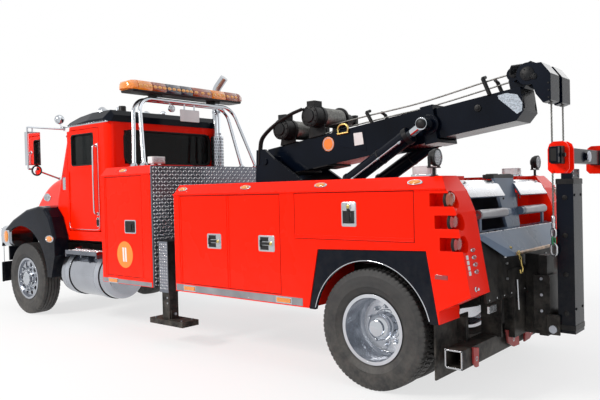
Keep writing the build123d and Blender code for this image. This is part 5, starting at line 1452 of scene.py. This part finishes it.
# %% [markdown]
# ## Ropes, hoses and chain
#
# A cable that stretches over a joint must be a mesh with many rings, so that it can be blended from one
# body to the next; a curve object would move as a whole. Two helpers make such tubes: one smooths a run
# of points, the other sweeps a circle along it. A third bends the tube into a link, and links into chain.

# %% Helpers for ropes and links
def smooth_run(points, steps=8):
    """A smooth line through all the points."""
    points = [Vector(point) for point in points]
    padded = [points[0] * 2 - points[1]] + points + [points[-1] * 2 - points[-2]]
    run = []
    for a, b, c, d in zip(padded, padded[1:], padded[2:], padded[3:]):
        for step in range(steps):
            t = step / steps
            run.append(0.5 * (2 * b + (c - a) * t + (2 * a - 5 * b + 4 * c - d) * t * t
                              + (3 * b - a - 3 * c + d) * t ** 3))
    return run + [points[-1]]


def add_tube(shape, points, radius, sides=8, closed=False):
    """Sweeps a circle along points, with as little twist as possible."""
    points = [Vector(point) for point in points]
    count, rings, normal = len(points), [], None
    for index, point in enumerate(points):
        before = points[index - 1] if index or closed else point
        after = points[(index + 1) % count] if index < count - 1 or closed else point
        along = (after - before).normalized()
        normal = along.orthogonal() if normal is None else normal
        normal = (normal - along * normal.dot(along)).normalized()
        across = along.cross(normal)
        rings.append([point + (normal * u + across * v) for u, v in ring_of(sides, radius)])
    skin(shape, rings, loop=closed)


def add_link(shape, centre, along, flat, length, width, wire_radius):
    """An oval link: long along one direction, with its open side facing another."""
    along, flat, centre = Vector(along).normalized(), Vector(flat).normalized(), Vector(centre)
    across, bend = along.cross(flat), width / 2 - wire_radius
    straight = length / 2 - width / 2
    oval = [centre + across * u + along * (v + (straight if v > 0 else -straight))
            for u, v in ring_of(16, bend, pi / 16)]
    add_tube(shape, oval, wire_radius, closed=True)


def add_chain(shape, points, pitch, width, wire_radius):
    """Links laid end to end along a run of points, each turned a quarter from the last."""
    walked, place, number = 0.0, Vector(points[0]), 0
    for point in smooth_run(points, 24)[1:]:
        walked += (point - place).length
        along = (point - place).normalized()
        place = point
        while walked >= pitch:
            walked -= pitch
            flat = along.orthogonal().normalized()
            flat = flat if number % 2 else along.cross(flat)
            add_link(shape, place, along, flat, pitch + 2 * wire_radius + 0.004, width, wire_radius)
            number += 1


print("ropes, tubes and links are ready")

# %% [markdown]
# ## Winches, cables and the boom's sides
#
# Two winches sit on the boom. Each drum is wound with wire rope, seen as close ridges, and each gearbox
# ends in a bolted cover. From the drums two ropes run along the boom's top, through guide posts, to the
# sheaves at its head. They run from the outer boom at one end to the inner boom at the other, and ride
# on neither body. Plates, a shackle and a plain disc mark the boom's sides.

# %% Wind the winches and string the boom
WINCHES = ((-0.99, 2.4), (-1.41, 2.508))
shape, covers = new_shapes(2)
for drum_x, drum_z in WINCHES:
    ridges = [(0.099 + (0.007 if step % 2 else 0.0), -0.172 + step * 0.344 / 48) for step in range(49)]
    add_turned(shape, [(0.08, -0.172)] + ridges + [(0.08, 0.172)], (drum_x, 0, drum_z), (0, 1, 0), steps=40)
    start = Vector((drum_x, 0.348, drum_z))
    add_turned(covers, ((0.116, -0.15), (0.122, -0.146), (0.122, -0.12), (0.1165, -0.116)), start, (0, 1, 0),
        steps=40, closed=True)
    add_turned(covers, ((0.108, 0.0), (0.106, 0.01), (0.07, 0.014), (0.066, 0.03), (0.0, 0.032)), start,
        (0, 1, 0), steps=40)
    for u, v in ring_of(10, 0.092):
        add_rod(covers, start + Vector((u, 0, v)), start + Vector((u, 0.02, v)), 0.0085, sides=6)
    add_box(covers, (drum_x - 0.055, 0.2, drum_z + 0.095), (drum_x + 0.055, 0.33, drum_z + 0.165))
    add_rod(covers, (drum_x, -0.348, drum_z), (drum_x, -0.42, drum_z), 0.055, sides=28)
    add_box(covers, (drum_x - 0.06, -0.47, drum_z - 0.06), (drum_x + 0.06, -0.415, drum_z + 0.06))
make_piece("winch_rope", shape, "wire_rope", "boom_outer", smooth_angle=80)
make_piece("winch_covers", covers, "cast_black", "boom_outer", bevel=0.004)

HOSE = ((-0.675, 2.02), (-0.687, 2.199), (-0.73, 2.322), (-0.905, 2.444), (-1.15, 2.545), (-1.33, 2.59))
OVER_THE_HEAD = ((-3.531, 0.146, 2.69), (-3.7, 0.146, 2.718), (-3.79, 0.146, 2.737), (-3.85, 0.146, 2.705),
                 (-3.8825, 0.146, 2.63))
CABLES = {
    "left": ((-1.44, 0.1, 2.409), (-1.528, 0.12, 2.415), (-2.011, 0.146, 2.467), (-2.632, 0.146, 2.535),
             (-3.299, 0.146, 2.653), *OVER_THE_HEAD),
    "right": ((-1.02, 0.06, 2.302), (-1.3, 0.08, 2.352), (-1.545, 0.1, 2.395), (-2.1, 0.13, 2.47),
              (-2.632, 0.146, 2.535), (-3.299, 0.146, 2.65), *OVER_THE_HEAD),
}
for name, side in SIDES:
    shape = bmesh.new()
    add_tube(shape, smooth_run([(x, side * y, z) for x, y, z in CABLES[name]], 12), 0.0075, sides=10)
    cable = make_piece(f"boom_cable_{name}", shape, "wire_rope", None, smooth_angle=80)
    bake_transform(cable)
shape = bmesh.new()
for y in (0.35, 0.385):
    add_tube(shape, smooth_run([(x, y, z) for x, z in HOSE], 12), 0.013, sides=10)
hoses = make_piece("boom_hoses", shape, "black_rubber", None, smooth_angle=80)
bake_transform(hoses)

outer_plates, decals, discs, sheen_patch, posts, fixings, disc_rims = new_shapes(7)
inner_posts, inner_bosses = new_shapes(2)
CYLINDER_EYE = Vector((-2.7529, 0, 2.3111))
DISC_X, DISC_Z = -1.53, 2.206
PLATE = ((-1.672, 2.288), (-1.997, 2.329), (-2.027, 2.103), (-1.683, 2.171))
SHACKLE = ((-1.681, 0.2, 2.3), (-1.672, 0.204, 2.35), (-1.7, 0.206, 2.392), (-1.77, 0.206, 2.398),
           (-1.803, 0.204, 2.36), (-1.794, 0.2, 2.31))
DECAL = ((-1.866, 2.297), (-1.975, 2.301), (-1.993, 2.175), (-1.877, 2.165))
# outline of a painted reflection: a pale patch on the gloss black head's sides
SHEEN_OUTLINE = (
    (-3.422, 2.515), (-3.504, 2.528), (-3.6, 2.505), (-3.645, 2.43), (-3.64, 2.36), (-3.597, 2.335),
    (-3.433, 2.483))
for side in (1, -1):
    add_prism(outer_plates, PLATE, side * 0.1895, side * 0.193)
    add_prism(decals, DECAL, side * 0.1925, side * 0.194)
    add_prism(discs, [(DISC_X + u, DISC_Z + v) for u, v in ring_of(40, 0.078)], side * 0.1895, side * 0.1915)
    add_turned(disc_rims, ((0.071, 0.0), (0.071, 0.003), (0.063, 0.003), (0.063, 0.0)),
        (DISC_X, side * 0.19, DISC_Z), (0, side, 0), steps=40, closed=True)
    add_prism(sheen_patch, SHEEN_OUTLINE, side * 0.1675, side * 0.17)
    add_rod(posts, (-2.025, side * 0.175, 2.501), (-2.092, side * 0.175, 2.385), 0.019, sides=14)
    add_rod(posts, (-2.025, side * 0.175, 2.501), (-2.025, side * 0.11, 2.52), 0.016, sides=14)
    add_rod(inner_posts, (-3.286, side * 0.165, 2.685), (-3.35, side * 0.165, 2.528), 0.019, sides=14)
    add_rod(inner_posts, (-3.286, side * 0.165, 2.685), (-3.286, side * 0.11, 2.7), 0.016, sides=14)
    add_turned(inner_bosses, ((0.034, 0.0), (0.032, 0.01), (0.018, 0.012), (0.016, 0.02), (0.0, 0.021)),
        (-3.235, side * 0.168, 2.422), (0, side, 0), steps=24)
    # shackle hung on the boom's top edge
    bow = smooth_run([(x, side * y, z) for x, y, z in SHACKLE])
    add_tube(fixings, bow, 0.0105, sides=10)
    add_rod(fixings, (-1.665, side * 0.2, 2.3), (-1.81, side * 0.2, 2.312), 0.013, sides=14)
    # lift cylinder's eye: a boss on the boom, and its bolted cap
    add_turned(outer_plates, ((0.1, 0.19), (0.1, 0.204), (0.092, 0.21), (0.034, 0.21)), CYLINDER_EYE,
        (0, side, 0), steps=40)
make_piece("boom_side_plates", outer_plates, "black_paint", "boom_outer", bevel=0.0008)
make_piece("boom_disc_rims", disc_rims, "silver_steel", "boom_outer")
make_piece("boom_side_marks", decals, "white_box", "boom_outer")
make_piece("boom_side_discs", discs, "orange_decal", "boom_outer")
make_piece("boom_rope_guides", posts, "cast_black", "boom_outer", smooth_angle=60)
make_piece("boom_shackles", fixings, "gold_zinc", "boom_outer", smooth_angle=60)
make_piece("head_painted_sheen", sheen_patch, "painted_sheen_silver", "boom_inner")
make_piece("head_rope_guides", inner_posts, "cast_black", "boom_inner", smooth_angle=60)
make_piece("inner_boom_bosses", inner_bosses, "cast_black", "boom_inner")
print("boom dressed")

# %% [markdown]
# ## Head, lift cylinders and load lines
#
# The head carries two sheaves between bolted side guards. The load lines are laid rope: three strands
# wound round each other, which a helix for each strand gives. Each line ends in a swivel, a ring, a green
# joining link and a larger link, and hangs straight down however the boom stands.

# %% Dress the head and the cylinders
head, springs = new_shapes(2)
for side in (1, -1):
    for x, z, size in ((-3.72, 2.66, 0.06), (-3.58, 2.68, 0.034), (-3.775, 2.63, 0.028)):
        face = 0.25 if x < -3.6 else 0.2
        start = Vector((x, side * (face - 0.001), z))
        add_turned(head, ((size, 0.0), (size, 0.008), (size - 0.008, 0.012), (0.0, 0.013)), start,
            (0, side, 0), steps=28)
        for u, v in ring_of(6, size * 0.68):
            add_rod(head, start + Vector((u, 0, v)), start + Vector((u, side * 0.018, v)), 0.006, sides=6)
    add_turned(springs, [(0.04 + (0.01 if step % 2 else 0.0), step * 0.007) for step in range(20)],
        (-3.56, side * 0.185, 2.712), (-1, 0, 0), steps=24)
    for z in (2.44, 2.5, 2.56):
        add_rod(head, (-3.898, side * 0.248, z), (-3.898, side * 0.258, z), 0.008, sides=6)
make_piece("head_bolts", head, "cast_black", "boom_inner")
make_piece("head_tensioners", springs, "cast_black", "boom_inner")

CYLINDER_FOOT = Vector((-1.78, 0, 1.74))
reach = (CYLINDER_EYE - CYLINDER_FOOT).normalized()
aside = Vector((-reach.z, 0, reach.x))
shape, chrome_tube, caps = new_shapes(3)
for side in (1, -1):
    start = CYLINDER_FOOT + Vector((0, side * 0.3, 0))
    for along, radius, length in ((0.1, 0.086, 0.03), (0.905, 0.088, 0.054), (0.56, 0.0815, 0.02)):
        add_turned(shape, ((radius - 0.012, along), (radius, along + 0.003), (radius, along + length - 0.003),
            (radius - 0.012, along + length)), start, reach, steps=48, closed=True)
    tube = start + Vector((0, side * 0.088, 0)) + aside * 0.03
    add_rod(chrome_tube, tube + reach * 0.16, tube + reach * 0.88, 0.009, sides=14)
    for along in (0.2, 0.56, 0.84):
        add_rod(chrome_tube, tube + reach * along, tube + reach * (along + 0.03), 0.014, sides=6)
    add_turned(caps, ((0.046, 0.364), (0.046, 0.374), (0.036, 0.38), (0.0, 0.381)), CYLINDER_EYE,
        (0, side, 0))
make_piece("barrel_glands", shape, "cast_black", "lift_barrels")
make_piece("barrel_pipes", chrome_tube, "chrome", "lift_barrels")
make_piece("eye_pin_caps", caps, "cast_black", "lift_rods")

LINE_X, LINE_Y = -3.8825, 0.146
LAY_ANGLE, LAY_RADIUS = 0.62, 0.0042
rope, ends, green = new_shapes(3)
for side in (1, -1):
    line_y = side * LINE_Y
    for strand in range(3):
        turns = []
        for step in range(161):
            angle = step * LAY_ANGLE + strand * 2.0944
            turns.append((LINE_X + LAY_RADIUS * cos(angle), line_y + LAY_RADIUS * sin(angle),
                          1.43 + step * 0.0075))
        add_tube(rope, turns, 0.004, sides=6)
    add_turned(ends, ((0.0, 1.34), (0.017, 1.345), (0.018, 1.38), (0.013, 1.392), (0.018, 1.404),
        (0.018, 1.44), (0.009, 1.452)), (LINE_X, line_y, 0), (0, 0, 1), steps=20)
    add_link(ends, (LINE_X, line_y, 1.302), (0, 0, 1), (0.5, 0.86, 0), 0.096, 0.072, 0.009)
    add_link(green, (LINE_X, line_y, 1.236), (0, 0, 1), (0.86, -0.5, 0), 0.08, 0.05, 0.01)
    add_link(ends, (LINE_X, line_y, 1.16), (0, 0, 1), (0.5, 0.86, 0), 0.124, 0.092, 0.01)
make_piece("line_ends", ends, "latch_steel", "load_lines", smooth_angle=70)
make_piece("line_green_links", green, "green_link", "load_lines", smooth_angle=70)
rope = make_piece("load_rope", rope, "wire_rope", "load_lines", smooth_angle=80)
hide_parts("load_lines")
print("load lines: 2, strands in each: 3")

# %% [markdown]
# ## Tail apron and rollers
#
# Ropes leave the tail over two rollers, through bright curved plates, and a blue-grey apron below keeps
# them off the boxes. Years of chain have worn its lip to bare steel. A hook and a short chain are kept on
# the apron's left, and a red tow tongue hangs on each side below.

# %% Dress the tail
TONGUES = ((((0.352, 0.471), (0.305, 0.346), (0.185, 0.292), (0.062, 0.286), (0.084, 0.411)), -3.52),
           (((0.964, 0.441), (0.959, 0.31), (0.915, 0.272), (0.872, 0.271), (0.865, 0.421)), -3.5035))
grey, bright, dark, worn, gold, brass = new_shapes(6)
for side in (1, -1):
    roller, outward = Vector((-3.48, 0, 1.48)), Vector((0, side, 0))
    add_turned(grey, ((0.03, 0.205), (0.0405, 0.205), (0.0415, 0.25), (0.0405, 0.255), (0.0405, 0.725),
        (0.0415, 0.73), (0.0415, 0.75), (0.03, 0.752)), roller, outward)
    for y in (0.15, 0.7515):
        add_turned(bright, ((0.014, y), (0.037, y), (0.037, y + 0.004), (0.014, y + 0.004)), roller, outward,
            steps=28, closed=True)
    guard = ((-3.352, 1.7665), (-3.4215, 1.7265), (-3.482, 1.6255), (-3.479, 1.6245), (-3.4195, 1.724),
             (-3.352, 1.7635))
    add_prism(bright, guard, side * 0.182, side * 0.878)
    for y in (0.25, 0.8):
        add_rod(bright, (-3.392, side * y, 1.738), (-3.402, side * y, 1.754), 0.011, sides=6)
    # apron: edge strips, slots shown as black blocks of painted shade, worn lip and corner gussets
    add_box(bright, (-3.47, side * 0.872, 1.3), (-3.456, side * 0.88, 1.348))
    # black blocks on the apron stand for its slots: painted shade where the openings would be
    for y in (0.5, 0.64, 0.78):
        add_box(dark, (-3.541, side * y - 0.036, 1.331), (-3.5, side * y + 0.036, 1.3395))
    add_rod(bright, (-3.5475, side * 0.87, 1.333), (-3.5475, side * 0.42, 1.333), 0.0035, sides=10)
    post = Vector((-3.4605, side * 0.185, 1.6))
    add_rod(dark, post, post + Vector((-0.01, 0, 0)), 0.011)
    add_box(dark, (-3.3945, side * 0.15 - 0.03, 1.775), (-3.3, side * 0.15 + 0.03, 1.822))
add_box(dark, (-3.396, -0.228, 1.78), (-3.296, 0.228, 1.8155))
add_rod(worn, (-3.6525, -0.405, 1.1375), (-3.6525, 0.405, 1.1375), 0.015)
add_rod(bright, (-3.551, -0.4, 1.3335), (-3.551, 0.4, 1.3335), 0.0035, sides=10)
add_chain(gold, ((-3.672, 0.392, 1.175), (-3.672, 0.38, 1.13), (-3.672, 0.345, 1.085)), 0.03, 0.026, 0.0042)
hook = smooth_run([(-3.672, 0.342, 1.08), (-3.674, 0.338, 1.045), (-3.676, 0.318, 1.01),
                   (-3.676, 0.33, 0.975), (-3.674, 0.358, 0.975), (-3.672, 0.366, 1.002)])
add_tube(gold, hook, 0.0085, sides=10)
for name, side in SIDES:
    for u, v in ((0.455, 0.93), (0.455, 1.06)):
        add_rod(bright, (-3.59, side * u, v), (-3.606, side * u, v), 0.012, sides=6)
    # tongues of red steel, each with a pin hole's bright rim
    for outline, x in TONGUES:
        tongue = bmesh.new()
        add_prism(tongue, [(side * u, v) for u, v in outline], x - 0.018, x + 0.001, plane="yz")
        make_piece(f"tow_tongue_{name}_{int(outline[0][0] * 10)}", tongue, "worn_red", bevel=0.004)
        middle = sum(u for u, _ in outline) / 5, sum(v for _, v in outline) / 5
        add_turned(bright, ((0.02, 0.0), (0.02, 0.003), (0.013, 0.003), (0.013, 0.0)),
            (x - 0.018, side * middle[0], middle[1]), (-1, 0, 0), steps=20, closed=True)
    # cross tube: rust inside, bare rim outside
    add_box(worn, (-3.4875, side * 1.08, 0.3025), (-3.4835, side * 1.119, 0.4275))
    for low, high in (((-3.5, 0.29), (-3.488, 0.44)), ((-3.362, 0.29), (-3.35, 0.44)),
                      ((-3.5, 0.29), (-3.35, 0.302)), ((-3.5, 0.428), (-3.35, 0.44))):
        add_box(bright, (low[0], side * 1.1195, low[1]), (high[0], side * 1.1225, high[1]))
    # frosted lamp and a chrome pull rod
    add_box(bright, (-3.612, side * 0.79 - 0.07, 0.7), (-3.594, side * 0.79 + 0.07, 0.756))
    add_rod(bright, (-3.607, side * 0.52, 1.115), (-3.607, side * 0.52, 1.15), 0.014, sides=16)
add_rod(bright, (-3.6045, 0.26, 0.9), (-3.6145, 0.26, 0.64), 0.008, sides=12)
add_rod(brass, (-3.59, 0.455, 1.2), (-3.615, 0.455, 1.2), 0.018, sides=6)
add_rod(brass, (-3.61, 0.455, 1.2), (-3.64, 0.455, 1.19), 0.009, sides=14)
for step in range(12):
    y = -0.825 + step * 0.15
    add_ball(bright, (-3.6005, y, 0.8), 0.008, (0.4, 1, 1), detail=8)
make_piece("roller_sleeves", grey, "strip_grey", smooth_angle=50)
make_piece("tail_bright_work", bright, "latch_steel", bevel=0.001)
make_piece("tail_caps_and_slot_shade", dark, "cast_black", bevel=0.003)
make_piece("apron_worn_lip", worn, "worn_steel")
make_piece("tail_hook_chain", gold, "gold_zinc", smooth_angle=70)
make_piece("tail_brass_valve", brass, "gold_zinc")
print("tail dressed")

# %% [markdown]
# ## Underlift and wheel receivers
#
# The stinger is a box in a box, folded up against the tail, with a crossbar that swivels on its end. Wear
# bands, bolts and grease nipples show on its faces. Each red receiver slides on the bar and is held by a
# black collar; rounded flanges on its sides guide the wheel. A black sheet in each of the bar's open ends
# is painted shade for the hollow inside.

# %% Dress the underlift
FLANGE = ((-4.149, 1.83), (-4.12, 1.8), (-4.015, 1.8), (-3.986, 1.83), (-3.986, 1.99), (-4.0, 2.03),
          (-4.03, 2.049), (-4.105, 2.049), (-4.135, 2.03), (-4.149, 1.99))
ROLLS = ((-4.068, 2.008, 0.041), (-4.068, 1.842, 0.034), (-4.11, 1.9, 0.012), (-4.02, 1.9, 0.012))
outer_bits, inner_bits, bar_end_shade, bar_bits, receivers, carriage_bits = new_shapes(6)
for z in (0.5, 1.735):
    # four flat bars round the sleeve; the inner stinger slides through between them
    for rear, front in ((-4.044, -4.0396), (-3.9004, -3.8965)):
        add_box(outer_bits, (rear, -0.124, z - 0.022), (front, 0.124, z + 0.022))
    for low, high in ((-0.124, -0.1196), (0.1196, 0.124)):
        add_box(outer_bits, (-4.04, low, z - 0.022), (-3.9, high, z + 0.022))
for side in (1, -1):
    for z in (0.62, 0.95, 1.28, 1.6):
        centre = Vector((-3.97, side * 0.1195, z))
        add_turned(outer_bits, ((0.022, 0.0), (0.022, 0.005), (0.014, 0.007), (0.013, 0.014), (0.0, 0.015)),
            centre, (0, side, 0), steps=18)
    for z in (0.66, 1.62):
        add_rod(outer_bits, (-4.0395, side * 0.085, z), (-4.047, side * 0.085, z), 0.012, sides=6)
    add_rod(carriage_bits, (-3.868, side * 0.15, 0.48), (-3.868, side * 0.168, 0.48), 0.034, sides=28)
    for z in (0.62, 0.76, 0.9):
        add_rod(carriage_bits, (-3.76, side * 0.1145, z), (-3.76, side * 0.1235, z), 0.014, sides=6)
    for z in (1.784, 1.82):
        add_rod(inner_bits, (-4.0255, side * 0.075, z), (-4.033, side * 0.075, z), 0.01, sides=6)
    # a black sheet in the crossbar's open end: painted shade for the hollow inside
    add_box(bar_end_shade, (-4.102, side * 0.7095, 1.892), (-4.058, side * 0.7115, 1.988))
    # receiver: two rounded flanges, a sleeve on the bar, and a roll above and below it
    for y in (0.444, 0.556):
        add_prism(receivers, FLANGE, side * (y - 0.009), side * (y + 0.009))
    add_box(receivers, (-4.124, side * 0.44, 1.87), (-4.036, side * 0.56, 2.01))
    for x, z, radius in ROLLS:
        add_rod(receivers, (x, side * 0.44, z), (x, side * 0.56, z), radius, sides=28)
    for x in (-4.112, -4.024):
        add_rod(receivers, (x, side * 0.565, 1.815), (x, side * 0.58, 1.815), 0.014, sides=6)
    add_box(bar_bits, (-4.122, side * 0.574, 1.872), (-4.038, side * 0.65, 2.008))
    add_rod(bar_bits, (-4.122, side * 0.612, 1.94), (-4.14, side * 0.612, 1.94), 0.016)
    add_box(bar_bits, (-4.12, side * 0.38, 1.874), (-4.04, side * 0.426, 2.006))
add_turned(inner_bits, ((0.0, 0.0), (0.044, 0.001), (0.044, 0.012), (0.034, 0.016), (0.0, 0.016)),
    (-4.1305, 0, 1.94), (-1, 0, 0))
make_piece("stinger_bands", outer_bits, "cast_black", "stinger_outer", bevel=0.002)
make_piece("stinger_end_bits", inner_bits, "silver_steel", "stinger_inner", bevel=0.001)
make_piece("bar_end_painted_shade", bar_end_shade, "black_rubber", "crossbar")
make_piece("receiver_collars", bar_bits, "cast_black", "crossbar", bevel=0.003)
receiver_pair = make_piece("receiver_forms", receivers, "red_paint", "crossbar", bevel=0.003)
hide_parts("wheel_receivers")
make_piece("carriage_fixings", carriage_bits, "silver_steel", "underlift_carriage")

# %% [markdown]
# ## Jack feet and the frame below
#
# Each jack's foot has two ears with a pin. Below the truck, small hoses and air tanks would be seen by
# anyone who crouched: a few are enough to break up the bare rails.

# %% Dress the jacks and the underside
for name, side in SIDES:
    shape, bits = new_shapes(2)
    for x in (0.02, 0.16):
        ear = ((x - 0.008, 0.3), (x + 0.008, 0.3), (x + 0.008, 0.405), (x - 0.008, 0.405))
        add_prism(shape, ear, side * 1.05, side * 1.15)
    add_rod(bits, (-0.005, side * 1.1, 0.355), (0.185, side * 1.1, 0.355), 0.016, sides=18)
    for x in (-0.19, 0.27):
        for y in (1.02, 1.17):
            add_rod(bits, (x, side * y, 0.3), (x, side * y, 0.31), 0.014, sides=6)
    for z in (0.48, 0.54):
        add_rod(bits, (0.055, side * 1.163, z), (0.055, side * 1.171, z), 0.01, sides=6)
    make_piece(f"jack_ears_{name}", shape, "chassis_black", f"jack_leg_{name}", bevel=0.002)
    make_piece(f"jack_pins_{name}", bits, "silver_steel", f"jack_leg_{name}")
runs = []
for side in (1, -1):
    runs.append([(-2.55, side * 0.3, 0.78), (-2.2, side * 0.34, 0.86), (-1.2, side * 0.36, 0.88),
                 (0.4, side * 0.36, 0.87), (1.4, side * 0.34, 0.86)])
    runs.append([(-2.62, side * 0.52, 0.56), (-2.45, side * 0.44, 0.7), (-2.2, side * 0.36, 0.8)])
make_pipes("air_lines", runs, 0.009, "black_rubber")
shape = bmesh.new()
for side in (1, -1):
    for x in (-0.55, -1.35):
        add_rod(shape, (x - 0.3, side * 0.512, 0.8), (x + 0.3, side * 0.512, 0.8), 0.07, sides=36)
        for end in (-0.3, 0.3):
            add_ball(shape, (x + end, side * 0.512, 0.8), 0.07, (0.35, 1, 1), detail=28)
make_piece("air_tanks", shape, "chassis_black", smooth_angle=50)
print("underlift, jacks and air lines dressed")
